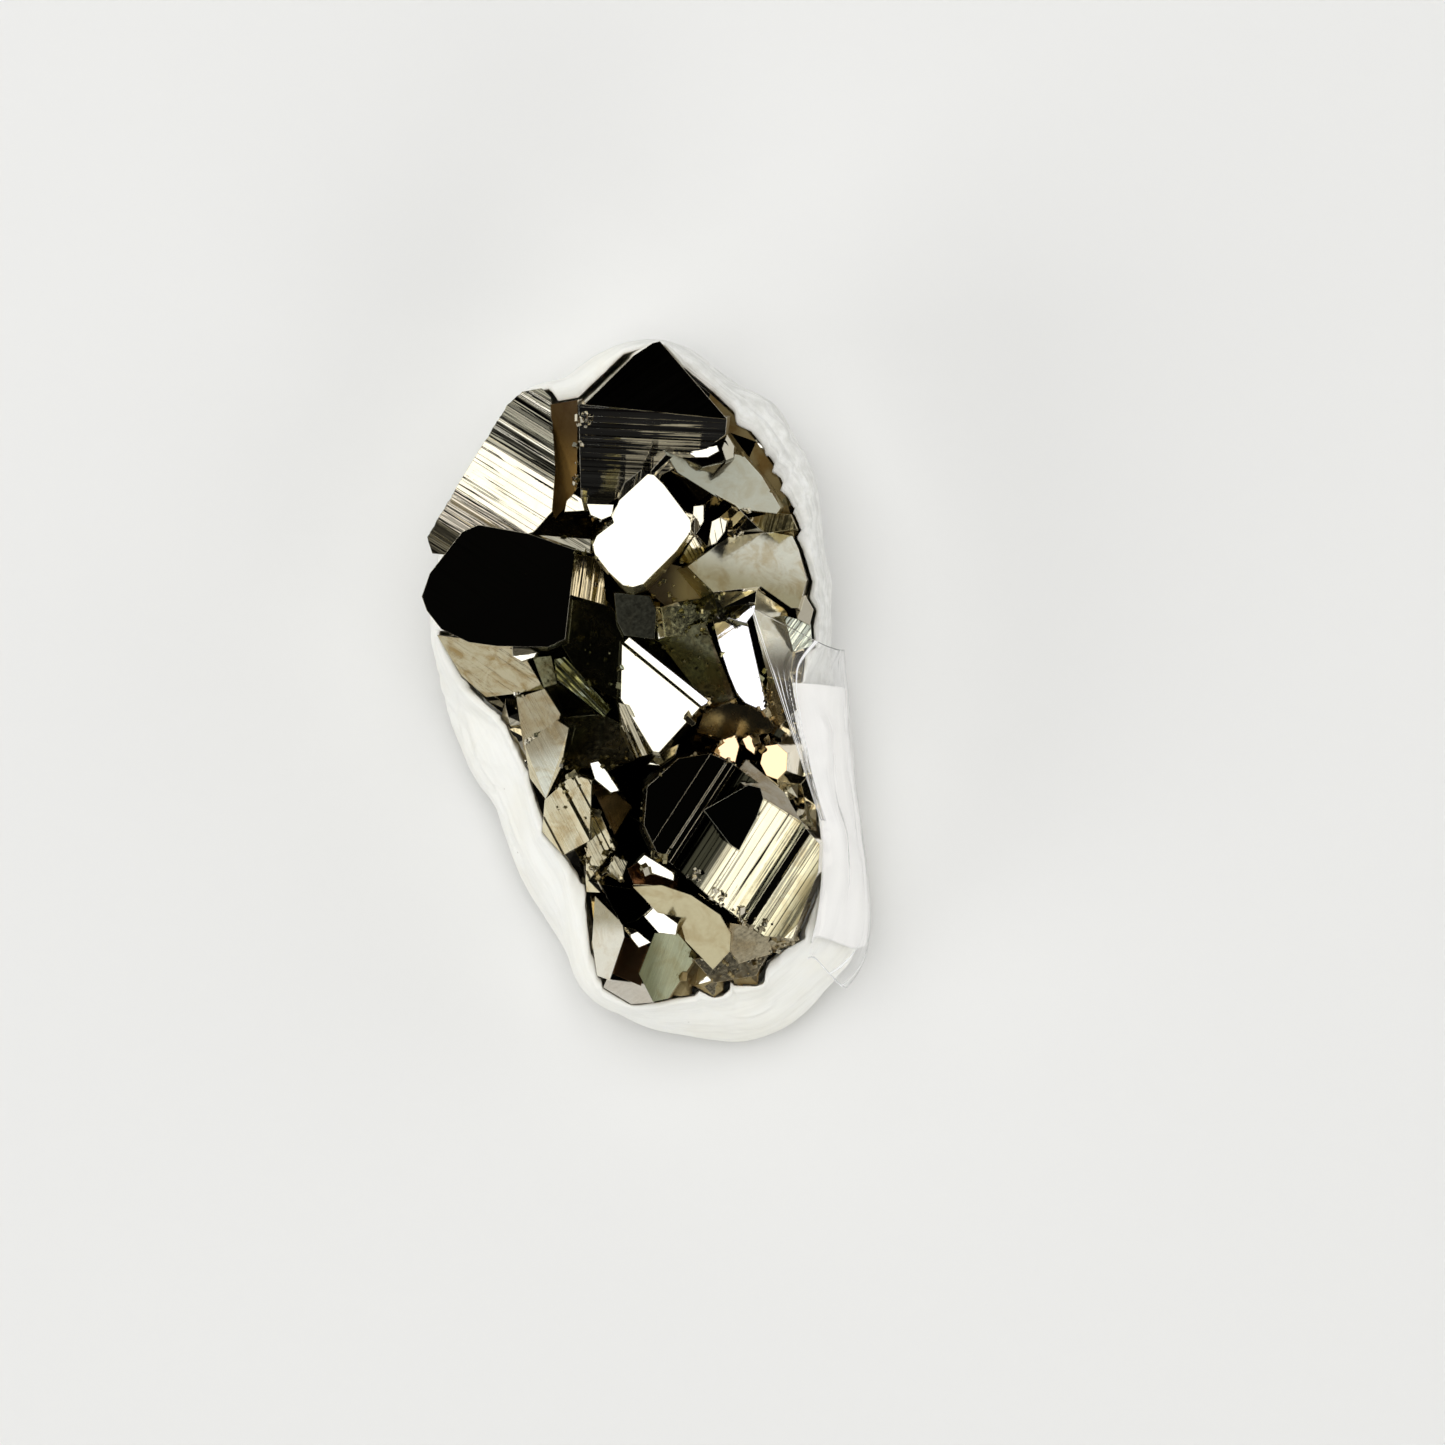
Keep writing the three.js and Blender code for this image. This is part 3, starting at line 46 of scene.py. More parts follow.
# Finish of the faces, in millimetres and degrees. Each row takes the faces round a place
# (x, y, reach) whose normal leans to a direction (azimuth, tilt) within a spread, or of
# them only a belt: those from one distance to another towards an azimuth.
# Then follow the colour: the metal's own, but on some faces painted light and shade, its
# wear (roughness, brown stain, uneven grain), and the growth lines' direction and strength.
# A fade (azimuth, from, to, colour) changes the colour to another one over that distance.
# Where the roughness is 0.5 or more it is earthy rust, not metal. Later rows go over
# earlier ones, and what a row leaves out is as in the common finish.
CLEAN = (0.05, 0, 0.012)
COMMON = dict(at=(0, 0, math.inf), tint=(0.8, 0.74, 0.58), wear=(0.05, 0.12, 0.012), lines=(35, 0.012))
FINISHES = [
    # rough brown rock that shows between the crystals and the padding
    dict(at=(12.6, 22.2, 4.4), tint=(0.16, 0.12, 0.05), wear=(0.6, 0.9, 0.1)),
    dict(at=(8.4, 27.4, 3), tint=(0.16, 0.12, 0.05), wear=(0.6, 0.9, 0.1)),
    dict(at=(7.4, 23.4, 1.8), tint=(0.12, 0.1, 0.06), wear=(0.2, 0.4, 0.05)),
    dict(at=(10.6, 24.4, 2), lean=(9, 5, 6), tint=(0.12, 0.12, 0.12), wear=(0.1, 0.12, 0.012)),
    dict(at=(13.6, 17.2, 2.6), tint=(0.44, 0.38, 0.2), wear=(0.34, 0.9, 0.2)),
    dict(at=(6.5, -29, 6.5), tint=(0.3, 0.24, 0.12), wear=(0.5, 0.7, 0.16)),
    dict(at=(13.6, -24, 4), tint=(0.5, 0.44, 0.3), wear=(0.3, 0.6, 0.22)),
    # hollows between the crystals: olive tarnish, darker than the crystals as painted shade
    dict(at=(3, 8.6, 6.2), tint=(0.66, 0.58, 0.29), wear=(0.27, 0.6, 0.13)),
    # two ledges in the middle hollow, one dark and one olive
    dict(at=(3.2, 10.3, 2.6), lean=(262, 26, 6), tint=(0.05, 0.037, 0.018), wear=(0.5, 0.5, 0.1),
         fade=(0, 2, 4.4, (0.19, 0.145, 0.055))),
    dict(at=(3, 7.6, 2.2), lean=(305, 18, 6), tint=(0.5, 0.45, 0.26), wear=(0.3, 0.6, 0.13),
         fade=(45, 6.6, 8.4, (1, 0.9, 0.55))),
    # the other hollows, and the ground round the upper crystals: olive tarnish, darkened as
    # painted shade
    dict(at=(-4.6, 0.8, 8), tint=(0.34, 0.33, 0.19), wear=(0.2, 0.7, 0.14)),
    dict(at=(-2, -11, 7), tint=(0.36, 0.32, 0.18), wear=(0.2, 0.7, 0.14)),
    dict(at=(6.4, 3.4, 6.4), tint=(0.46, 0.45, 0.26), wear=(0.2, 0.6, 0.09)),
    dict(at=(8.6, -3.4, 5.4), tint=(0.5, 0.42, 0.26), wear=(0.16, 0.5, 0.08)),
    dict(at=(-5.6, 14.6, 3.4), tint=(0.4, 0.36, 0.18), wear=(0.2, 0.7, 0.14)),
    # the small faces that mirror the light, wherever they are, in a whiter, cleaner tint: a
    # painted highlight
    dict(at=(0, 0, 60), lean=(127, 23, 5), tint=(0.93, 0.9, 0.78), wear=CLEAN),
    # the crystals, from the pointed end down: the striated block on the left, and belts of
    # its steps, darker towards both ends
    dict(at=(-15, 21.5, 13), lean=(130, 20, 24), tint=(0.86, 0.81, 0.62), lines=(-32, 0.1)),
    dict(at=(-15, 21.5, 11), lean=(130, 26, 22), belt=(61.5, 15, 23), tint=(0.26, 0.25, 0.19),
         lines=(-32, 0.16)),
    dict(at=(-15, 21.5, 11), lean=(130, 20, 5), belt=(61.5, 15, 23), tint=(0.74, 0.71, 0.6),
         lines=(-32, 0.32)),
    dict(at=(-15, 21.5, 11), lean=(130, 26, 22), belt=(61.5, 5.5, 8.6), tint=(0.58, 0.53, 0.43),
         lines=(-32, 0.34)),
    dict(at=(-15, 21.5, 11), lean=(130, 26, 22), belt=(61.5, 1, 5.5), tint=(0.1, 0.09, 0.06),
         lines=(-32, 0.3)),
    # steep brown wall right of it, and the striated front of the pointed block
    dict(at=(-7.6, 23.5, 8), lean=(190, 65, 16), tint=(0.06, 0.032, 0.006), wear=(0.62, 0.5, 0.07),
         fade=(-90, -26.5, -19.5, (0.3, 0.18, 0.05))),
    dict(at=(1, 24, 10), lean=(264, 30, 18), tint=(0.74, 0.72, 0.64), wear=(0.05, 0.05, 0.012),
         lines=(-3, 0.07)),
    # grey face and beige face on the upper right, and the dark wall above the second
    dict(at=(8, 21, 8), lean=(50, 30, 4), tint=(0.68, 0.69, 0.55), wear=(0.12, 0.3, 0.02),
         fade=(-27, -6.7, 2.2, (0.9, 0.9, 0.73))),
    dict(at=(11, 13, 9), lean=(40, 34, 4), tint=(0.5, 0.455, 0.28), wear=(0.16, 0.6, 0.04),
         fade=(75, 12.6, 16.8, (0.98, 0.97, 0.81))),
    dict(at=(10.8, 17.9, 3.2), lean=(264, 86, 12), tint=(0.28, 0.25, 0.18), wear=(0.18, 0.5, 0.1)),
    # bright four-sided face (its whiter tint where it mirrors the light is a painted
    # highlight), small chip at the rim, and the thin plates between them
    dict(at=(0, 16, 7), lean=(128, 22, 6), tint=(0.93, 0.89, 0.72), wear=CLEAN),
    dict(at=(8.4, 24.3, 2), lean=(50, 38, 8), tint=(0.78, 0.74, 0.6)),
    dict(at=(6.5, 16, 4), lean=(134, 23, 10), lines=(100, 0.08)),
    # striated flank of the dark cube, and the slate face right of it
    dict(at=(-5.3, 11.5, 4), lean=(335, 27, 20), tint=(0.66, 0.56, 0.36), lines=(82, 0.1)),
    dict(at=(-0.8, 8, 4.5), lean=(192, 20, 6), tint=(0.22, 0.22, 0.16), wear=(0.05, 0.2, 0.04)),
    # mottled face below the dark cube, and the folded faces down the left side
    dict(at=(-15.5, 3.3, 7), lean=(245, 50, 8), tint=(0.58, 0.52, 0.35), wear=(0.17, 0.9, 0.07),
         lines=(-35, 0.08)),
    dict(at=(-10.5, -4.5, 8), lean=(206, 44, 9), tint=(0.45, 0.4, 0.27), wear=(0.15, 0.6, 0.06),
         lines=(-62, 0.08), fade=(-70, 0.8, 4.4, (0.94, 0.95, 0.8))),
    dict(at=(-7.2, -13, 7), lean=(212, 44, 16), tint=(0.84, 0.77, 0.54), wear=(0.16, 0.6, 0.05),
         lines=(-62, 0.09)),
    # green streak and brown facet in the hollows
    dict(at=(-6, 0.7, 5), lean=(52, 34, 16), tint=(0.84, 0.92, 0.7), lines=(-46, 0.18)),
    dict(at=(-3.4, -10.9, 4), lean=(20, 36, 6), tint=(0.48, 0.36, 0.22), wear=(0.2, 0.6, 0.012)),
    # bright wedge in the middle, whose whiter tint where it mirrors the light is a painted
    # highlight, and its striated foot
    dict(at=(2, -1, 7), lean=(124, 23, 6), tint=(0.93, 0.89, 0.72), wear=CLEAN),
    dict(at=(-0.9, -4, 4), lean=(222, 52, 14), tint=(0.7, 0.64, 0.46), lines=(-66, 0.12)),
    # bright face by the film, whose lilac white tint is a painted highlight with a painted
    # reflection of the paper strip, the grey one beside it, and a finely striated crystal
    dict(at=(9.5, 4, 7), lean=(124, 24, 5), tint=(0.93, 0.92, 0.96), wear=CLEAN),
    dict(at=(13, 5, 6), lean=(4, 40, 6), tint=(0.86, 0.84, 0.7), wear=(0.14, 0.3, 0.012),
         fade=(-90, -6.4, -2.4, (0.12, 0.1, 0.06))),
    dict(at=(15.5, 5.9, 3), lean=(330, 36, 18), tint=(0.64, 0.68, 0.58), lines=(55, 0.12)),
    # round brown face, and the golden facets below it, whose warm gold tint where they mirror
    # the light is a painted warm highlight
    dict(at=(9, -2.8, 5), lean=(250, 26, 6), tint=(0.46, 0.4, 0.26), wear=(0.2, 0.7, 0.03)),
    dict(at=(9, -5.6, 3.4), lean=(127, 24, 5), tint=(1, 0.72, 0.42), wear=CLEAN),
    dict(at=(12.9, -6.7, 2.4), lean=(128, 22, 5), tint=(1, 0.72, 0.4), wear=CLEAN),
    # large striated crystal on the lower right: its faces, near black as a painted dark
    # reflection and cream at the right, its right end, darker at its rounded edge as painted
    # shade, its dark top, the bands of its groove, the dark inset, and the grey shoulder above it
    # near-black tint: a painted dark reflection, fading to cream at the right
    dict(at=(8.6, -15, 13), lean=(327, 10, 24), tint=(0.03, 0.03, 0.02), wear=(0.05, 0.1, 0.012),
         lines=(57, 0.06), fade=(-33, 14.5, 16.1, (0.8, 0.75, 0.56))),
    # darker towards the rounded right edge: painted shade
    dict(at=(15.5, -19, 4.4), lean=(327, 26, 8), tint=(0.7, 0.66, 0.47), wear=(0.09, 0.4, 0.012),
         lines=(57, 0.05), fade=(-33, 22.6, 24.4, (0.26, 0.24, 0.15))),
    dict(at=(5.4, -12, 9), lean=(327, 3, 7), tint=(0.6, 0.55, 0.42), lines=(57, 0.01)),
    dict(at=(12.8, -17.8, 5), lean=(327, 9, 2.5), tint=(0.66, 0.64, 0.44), wear=(0.26, 0.12, 0.012),
         lines=(57, 0.16)),
    dict(at=(9.6, -11.6, 4), lean=(300, 4, 2.5), tint=(0.5, 0.5, 0.42), lines=(57, 0)),
    dict(at=(11.4, -8.8, 5), lean=(62, 38, 5), tint=(0.46, 0.42, 0.33), wear=(0.2, 0.7, 0.05)),
    # red brown hollow, and the side wall next to the tape
    dict(at=(0.6, -18.2, 3), lean=(40, 20, 5), tint=(0.34, 0.16, 0.08), wear=(0.2, 0.12, 0.012)),
    dict(at=(17.9, -16.8, 3), lean=(355, 84, 10), tint=(0.95, 0.92, 0.84), wear=(0.4, 0.12, 0.012)),
    # the lower end: long beige face, lower left face, brown face, grey green face, the two
    # rim faces at the bottom, and the step right of the long face
    dict(at=(4, -22.5, 8), lean=(236, 42, 6), tint=(0.75, 0.67, 0.42), wear=(0.15, 0.35, 0.02)),
    dict(at=(-3.7, -24.5, 5), lean=(186, 44, 6), tint=(0.5, 0.46, 0.32), wear=(0.12, 0.3, 0.02),
         fade=(-90, 22.2, 24.4, (0.97, 0.94, 0.8))),
    dict(at=(-1.3, -26.6, 4), lean=(150, 7, 4), tint=(0.3, 0.17, 0.08), wear=(0.3, 0.4, 0.012)),
    dict(at=(2.4, -27, 5), lean=(312, 40, 6), tint=(0.22, 0.23, 0.13), wear=(0.16, 0.4, 0.03),
         lines=(70, 0.08), fade=(0, 0.4, 2.8, (0.5, 0.52, 0.34))),
    dict(at=(-1.5, -29.7, 4), lean=(250, 44, 6), tint=(0.84, 0.79, 0.68), wear=(0.16, 0.12, 0.012)),
    dict(at=(8.6, -27.2, 5), lean=(278, 38, 6), tint=(0.46, 0.4, 0.27), wear=(0.26, 0.8, 0.12)),
    dict(at=(10.6, -24.8, 4), lean=(300, 34, 6), tint=(0.62, 0.54, 0.36), wear=(0.18, 0.5, 0.05)),
]
# Places in the tables are counted in the drawing that the crystals were laid out in. The
# CAD's origin, under the middle of the whole, lies at this place in it.
SHIFT = (0.729, 0.097)
# Corners closer than this are one.
MERGE = 0.002 * MM
# A face is steep where its normal's upward part is less than this.
STEEP = 0.3


def leaning(azimuth, tilt):
    """Unit vector that leans from upright by tilt towards azimuth, both in degrees."""
    a, t = math.radians(azimuth), math.radians(tilt)
    return np.array([math.sin(t) * math.cos(a), math.sin(t) * math.sin(a), math.cos(t)])


def link(name, mesh, material, node=None):
    """Puts a mesh into the scene as a piece that rides on the specimen's only body."""
    piece = bpy.data.objects.new(name, mesh)
    scene.collection.objects.link(piece)
    piece.data.materials.clear()
    piece.data.materials.append(material)
    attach(piece, "root")
    if node:
        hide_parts(node)
    return piece


def merged(node):
    """A copy of a CAD node's mesh whose loose triangles are joined at equal corners."""
    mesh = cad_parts[node].data.copy()
    work = bmesh.new()
    work.from_mesh(mesh)
    bmesh.ops.remove_doubles(work, verts=work.verts, dist=MERGE)
    work.to_mesh(mesh)
    work.free()
    mesh.polygons.foreach_set("use_smooth", np.zeros(len(mesh.polygons), bool))
    return mesh


def facets(mesh):
    """Middle, in millimetres, and unit normal of every face, as arrays."""
    middle = np.empty(len(mesh.polygons) * 3)
    normal = np.empty(len(mesh.polygons) * 3)
    mesh.polygons.foreach_get("center", middle)
    mesh.polygons.foreach_get("normal", normal)
    return middle.reshape(-1, 3) / MM, normal.reshape(-1, 3)


def put(mesh, name, kind, values, domain="FACE"):
    """Stores an array as a named attribute of the mesh."""
    layer = mesh.attributes.new(name, kind, domain)
    field = {"FLOAT": "value", "FLOAT_VECTOR": "vector", "FLOAT_COLOR": "color"}[kind]
    layer.data.foreach_set(field, np.ascontiguousarray(values, dtype=np.float32).ravel())


def dress(mesh):
    """Gives every face the finish of the last row of FINISHES that takes it: the middle
    lies within reach of the row's place in plan, the angle between the normal and the
    row's lean is less than the spread, and the middle is in the belt."""
    middle, normal = facets(mesh)
    count = len(middle)
    tint, other = np.ones((2, count, 4))
    fade, wear = np.zeros((2, count, 3))
    plan, growth = np.zeros((2, count))
    for row in (COMMON, *FINISHES):
        x, y, reach = row["at"]
        taken = np.hypot(middle[:, 0] + SHIFT[0] - x, middle[:, 1] + SHIFT[1] - y) < reach
        if "lean" in row:
            azimuth, tilt, spread = row["lean"]
            taken &= normal @ leaning(azimuth, tilt) > math.cos(math.radians(spread))
        if "belt" in row:
            azimuth, start, end = row["belt"]
            level = (middle + (*SHIFT, 0)) @ leaning(azimuth, 90)
            taken &= (level > start) & (level < end)
        full = {**COMMON, **row}
        azimuth, start, end, colour = row.get("fade", (0, 0, math.inf, full["tint"]))
        tint[taken, :3] = full["tint"]
        other[taken, :3] = colour
        # the part of the other colour is x, y and 1 times these three numbers
        towards = leaning(azimuth, 90)
        fade[taken, :2] = towards[:2] / (end - start)
        fade[taken, 2] = (towards[:2] @ SHIFT - start) / (end - start)
        wear[taken] = full["wear"]
        plan[taken] = math.radians(full["lines"][0])
        growth[taken] = full["lines"][1]
    # the growth line lies in the face, over its direction in plan; on a steep face it is level
    along = np.stack([np.cos(plan), np.sin(plan), np.zeros(count)], 1)
    steep = np.abs(normal[:, 2]) < STEEP
    safe = np.where(steep, 1.0, normal[:, 2])
    along[:, 2] = np.where(steep, 0.0, -(along * normal).sum(1) / safe)
    across = np.cross(along, normal)
    across /= np.linalg.norm(across, axis=1, keepdims=True) + 1e-9
    put(mesh, "tint", "FLOAT_COLOR", tint)
    put(mesh, "tint_beyond", "FLOAT_COLOR", other)
    put(mesh, "fade", "FLOAT_VECTOR", fade)
    put(mesh, "wear", "FLOAT_VECTOR", wear)
    put(mesh, "across", "FLOAT_VECTOR", across)
    put(mesh, "growth", "FLOAT", growth)


def node_of(tree, kind, **values):
    """Adds one shader node and sets its properties."""
    made = tree.nodes.new("ShaderNode" + kind)
    for key, value in values.items():
        setattr(made, key, value)
    return made


def feed(tree, socket, value):
    """Joins a socket to another one, or sets it to a plain value."""
    if isinstance(value, bpy.types.NodeSocket):
        tree.links.new(value, socket)
    elif value is not None:
        socket.default_value = value


def fill(tree, node, values):
    """Sets a node's inputs by name, or joins them to other nodes."""
    for name, value in values.items():
        feed(tree, node.inputs[name], value)


def sums(tree, operation, a, b=None, c=None):
    """A Math node's result."""
    made = node_of(tree, "Math", operation=operation)
    for socket, value in zip(made.inputs, (a, b, c)):
        feed(tree, socket, value)
    return made.outputs[0]


def vectors(tree, operation, a, b=None, c=None, scale=None):
    """A Vector Math node's result: a number for a dot product, otherwise a vector."""
    made = node_of(tree, "VectorMath", operation=operation)
    for socket, value in zip(made.inputs, (a, b, c)):
        feed(tree, socket, value)
    if scale is not None:
        feed(tree, made.inputs["Scale"], scale)
    return made.outputs["Value" if operation == "DOT_PRODUCT" else "Vector"]


def blend(tree, part, a, b, mode="MIX"):
    """Mixes two colours."""
    made = node_of(tree, "Mix", data_type="RGBA", blend_type=mode)
    for socket, value in zip((0, 6, 7), (part, a, b)):
        feed(tree, made.inputs[socket], value)
    return made.outputs[2]


def noise(tree, place, scale, detail=3.0, rough=0.55, kind="Fac", twist=0.0):
    """A Noise Texture at a place, with its scale in waves a millimetre."""
    made = node_of(tree, "TexNoise")
    fill(tree, made, {"Vector": place, "Scale": scale, "Detail": detail, "Roughness": rough,
                      "Distortion": twist})
    return made.outputs[kind]


def between(tree, value, low, high, to_low=0.0, to_high=1.0):
    """Maps a range of a number smoothly onto another."""
    made = node_of(tree, "MapRange", interpolation_type="SMOOTHSTEP")
    for socket, given in zip(made.inputs, (value, low, high, to_low, to_high)):
        feed(tree, socket, given)
    return made.outputs[0]


def attribute(tree, name, kind):
    """One of the mesh's own attributes."""
    return node_of(tree, "Attribute", attribute_name=name).outputs[kind]


def millimetres(tree):
    """Place on the object in millimetres."""
    place = node_of(tree, "TexCoord").outputs["Object"]
    return vectors(tree, "SCALE", place, scale=1 / MM)


def new_material(name):
    """A material, its node tree and its shader."""
    material = bpy.data.materials.new(name)
    material.use_nodes = True
    return material, material.node_tree, material.node_tree.nodes["Principled BSDF"]


# Growth lines are made of bands in three sizes: width, length in millimetres, share.
GROWTH_BANDS = ((0.55, 16.0, 0.5), (0.2, 10.0, 0.75), (0.085, 7.0, 0.9))
EDGE_RADIUS = 0.09
# Waves a millimetre of the grain, the slow wave and the stain's clouds.
GRAIN_SCALE = 2.6
SLOW_SCALE = 0.22
CLOUD_SCALE = 0.42
# How far the grain, for each unit of its strength, and the slow wave tip the normal.
GRAIN_TIP = 3.0
SLOW_TIP = 0.05
# Noise at which a cloud begins and is full, its colour and how far it roughens the face.
CLOUD_EDGE = (0.42, 0.68)
BROWN = (0.66, 0.50, 0.27, 1)
DULLING = 0.16
# Roughness between which metal turns to rust, and how metallic rust still is.
RUST_EDGE = (0.42, 0.5)
RUST_METAL = 0.1
HALF = (0.5, 0.5, 0.5)


def pyrite_material():
    """Brass metal with edges rounded a tenth of a millimetre. Bands of random cells, long
    along the growth lines and narrow across them, tip the normal across the lines. A fine
    noise and a slow one tip it every way. The colour fades to the face's other colour.
    Noise clouds stain it brown and dull it, and the roughest faces are hardly metal."""
    material, tree, shader = new_material("pyrite")
    place = millimetres(tree)
    normal = node_of(tree, "NewGeometry").outputs["Normal"]
    worn = node_of(tree, "Bevel", samples=6)
    fill(tree, worn, {"Radius": EDGE_RADIUS * MM})
    across = attribute(tree, "across", "Vector")
    along = vectors(tree, "CROSS_PRODUCT", across, normal)
    growth = attribute(tree, "growth", "Fac")
    wear = node_of(tree, "SeparateXYZ")
    fill(tree, wear, {"Vector": attribute(tree, "wear", "Vector")})
    rough, stain, grain = wear.outputs

    crosswise = vectors(tree, "DOT_PRODUCT", place, across)
    lengthwise = vectors(tree, "DOT_PRODUCT", place, along)
    tip = None
    for width, length, share in GROWTH_BANDS:
        cell = node_of(tree, "CombineXYZ")
        fill(tree, cell, {"X": sums(tree, "DIVIDE", crosswise, width),
                          "Y": sums(tree, "DIVIDE", lengthwise, length)})
        bands = node_of(tree, "TexVoronoi", voronoi_dimensions="2D")
        fill(tree, bands, {"Vector": cell.outputs[0], "Scale": 1.0})
        shade = node_of(tree, "SeparateColor")
        fill(tree, shade, {"Color": bands.outputs["Color"]})
        slope = sums(tree, "MULTIPLY_ADD", shade.outputs[0], 2 * share, -share)
        tip = slope if tip is None else sums(tree, "ADD", tip, slope)
    tip = sums(tree, "MULTIPLY", tip, growth)
    leaned = vectors(tree, "SCALE", across, scale=tip)

    speckle = vectors(tree, "SUBTRACT", noise(tree, place, GRAIN_SCALE, 4.0, 0.65, "Color"), HALF)
    uneven = vectors(tree, "SCALE", speckle, scale=sums(tree, "MULTIPLY", grain, GRAIN_TIP))
    wave = vectors(tree, "SUBTRACT", noise(tree, place, SLOW_SCALE, 1.0, 0.5, "Color"), HALF)
    sway = vectors(tree, "SCALE", wave, scale=SLOW_TIP)
    whole = worn.outputs[0]
    for tipping in (leaned, uneven, sway):
        whole = vectors(tree, "ADD", whole, tipping)

    cloud = between(tree, noise(tree, place, CLOUD_SCALE, 6.0, 0.62, twist=0.6), *CLOUD_EDGE)
    stained = sums(tree, "MULTIPLY", cloud, stain)
    # x, y and 1, times the face's three numbers of the fade
    in_plan = vectors(tree, "MULTIPLY_ADD", place, (1, 1, 0), (0, 0, 1))
    beyond = vectors(tree, "DOT_PRODUCT", in_plan, attribute(tree, "fade", "Vector"))
    tint = blend(tree, between(tree, beyond, 0.0, 1.0), attribute(tree, "tint", "Color"),
                 attribute(tree, "tint_beyond", "Color"))
    brown = blend(tree, 1.0, tint, BROWN, "MULTIPLY")
    fill(tree, shader, {
        "Base Color": blend(tree, stained, tint, brown),
        "Roughness": sums(tree, "MULTIPLY_ADD", stained, DULLING, rough),
        "Metallic": between(tree, rough, *RUST_EDGE, 1.0, RUST_METAL),
        "Specular IOR Level": 0.15,
        "Normal": vectors(tree, "NORMALIZE", whole),
    })
    return material


pyrite_mesh = merged("pyrite_cluster")
pyrite_mesh.name = "pyrite_crystals"
dress(pyrite_mesh)
pyrite_metal = pyrite_material()
link("pyrite_crystals", pyrite_mesh, pyrite_metal, "pyrite_cluster")


# Small crystals
# Crumbs of pyrite, mostly a tenth to half a millimetre, that have grown on the edges and
# in the hollows between the large crystals. They glint in the dark ground.

# Where they sit: place and reach in millimetres, how many, and their mean size. Those with
# a reach under a millimetre sit on a crystal's edge, the others on rock or in a hollow.
CRUMBS = [
    (3, 9, 5, 60, 0.28), (-4.6, 0.8, 5.5, 50, 0.22), (-2, -11, 5.5, 60, 0.26),
    (6.4, 5.4, 4, 26, 0.26), (8.6, -3.6, 4.6, 70, 0.3), (-5.6, 15.2, 2.6, 40, 0.26),
    (7, 18, 3.4, 60, 0.26), (-9, -9, 3, 50, 0.3), (3, -18.6, 3.4, 70, 0.3),
    (5.2, -18, 0.9, 16, 0.3), (7.4, -20.2, 0.9, 18, 0.32), (9.6, -21.8, 0.9, 18, 0.32),
    (11.6, -23, 0.9, 14, 0.3), (13.4, -2, 4.5, 60, 0.34), (11.6, 23, 4, 20, 0.26),
    (6, -28.6, 4.6, 30, 0.26), (12.4, -24, 3.4, 40, 0.28), (-5.7, 27, 0.8, 14, 0.26),
    (-6.4, 24.6, 0.4, 5, 0.28), (-6.6, 22.9, 0.4, 5, 0.28), (-6.8, 21.7, 0.4, 5, 0.28),
    (-6.7, 20.5, 0.4, 4, 0.26), (-7.2, -7.6, 0.9, 9, 0.24), (-13.4, -3, 3.2, 50, 0.26),
    (-4.4, -17.4, 2.6, 50, 0.3),
]
# Spread of the sizes (their logarithm's middle and deviation), least and greatest edge
# against a crumb's size, and the seed of the draws.
CRUMB_SPREAD = (-0.25, 0.5)
CRUMB_EDGES = (0.6, 1.5)
CRUMB_SEED = 29
# Points on the rock are this far apart. Those that show lie at most COVER under the top
# of their cell, and those on the ground have more grain than COARSE.
ROCK_SPACING = 0.12
CELL = 0.35
COVER = 0.5
COARSE = 0.07
# Steps of the even sequence that spreads points over a triangle.
SEQUENCE = (0.7548776662466927, 0.5698402909980532)


def scatter(mesh, spacing):
    """Points all over a mesh in millimetres. Each triangle gets its area over the spacing
    squared, rounded up, and one more. Point n lies n steps of SEQUENCE along two of its
    sides, less whole numbers, folded back where the two shares pass 1. Returns the points
    and the triangle of each."""
    mesh.calc_loop_triangles()
    corner = np.empty(len(mesh.vertices) * 3)
    mesh.vertices.foreach_get("co", corner)
    corner = corner.reshape(-1, 3) / MM
    tri = np.empty(len(mesh.loop_triangles) * 3, int)
    mesh.loop_triangles.foreach_get("vertices", tri)
    a, b, c = corner[tri.reshape(-1, 3)].transpose(1, 0, 2)
    area = np.linalg.norm(np.cross(b - a, c - a), axis=1) / 2
    many = np.ceil(area / spacing ** 2).astype(int) + 1
    which = np.repeat(np.arange(len(area)), many)
    order = np.arange(len(which))
    u = (order * SEQUENCE[0]) % 1.0
    v = (order * SEQUENCE[1]) % 1.0
    over = u + v > 1
    u, v = np.where(over, 1 - u, u)[:, None], np.where(over, 1 - v, v)[:, None]
    return a[which] + u * (b - a)[which] + v * (c - a)[which], which


def topmost(points):
    """Which points show from above: each small cell's highest, and those just under it."""
    cell = np.round(points[:, :2] / CELL).astype(int)
    cell -= cell.min(0)
    key = cell[:, 0] * (cell[:, 1].max() + 1) + cell[:, 1]
    top = np.full(key.max() + 1, -1.0)
    np.maximum.at(top, key, points[:, 2])
    return points[:, 2] > top[key] - COVER


def ground(mesh, which):
    """Which points lie on rock or in a hollow: the grain of their finish is coarse."""
    wear = np.empty(len(mesh.polygons) * 3, np.float32)
    mesh.attributes["wear"].data.foreach_get("vector", wear)
    side = np.empty(len(mesh.loop_triangles), int)
    mesh.loop_triangles.foreach_get("polygon_index", side)
    return wear.reshape(-1, 3)[side[which], 2] > COARSE


def turns(count, random):
    """Random rotation matrices from unit quaternions."""
    q = random.normal(size=(count, 4))
    w, x, y, z = (q / np.linalg.norm(q, axis=1, keepdims=True)).T
    rows = [1 - 2 * (y * y + z * z), 2 * (x * y - z * w), 2 * (x * z + y * w),
            2 * (x * y + z * w), 1 - 2 * (x * x + z * z), 2 * (y * z - x * w),
            2 * (x * z - y * w), 2 * (y * z + x * w), 1 - 2 * (x * x + y * y)]
    return np.stack(rows, -1).reshape(-1, 3, 3)


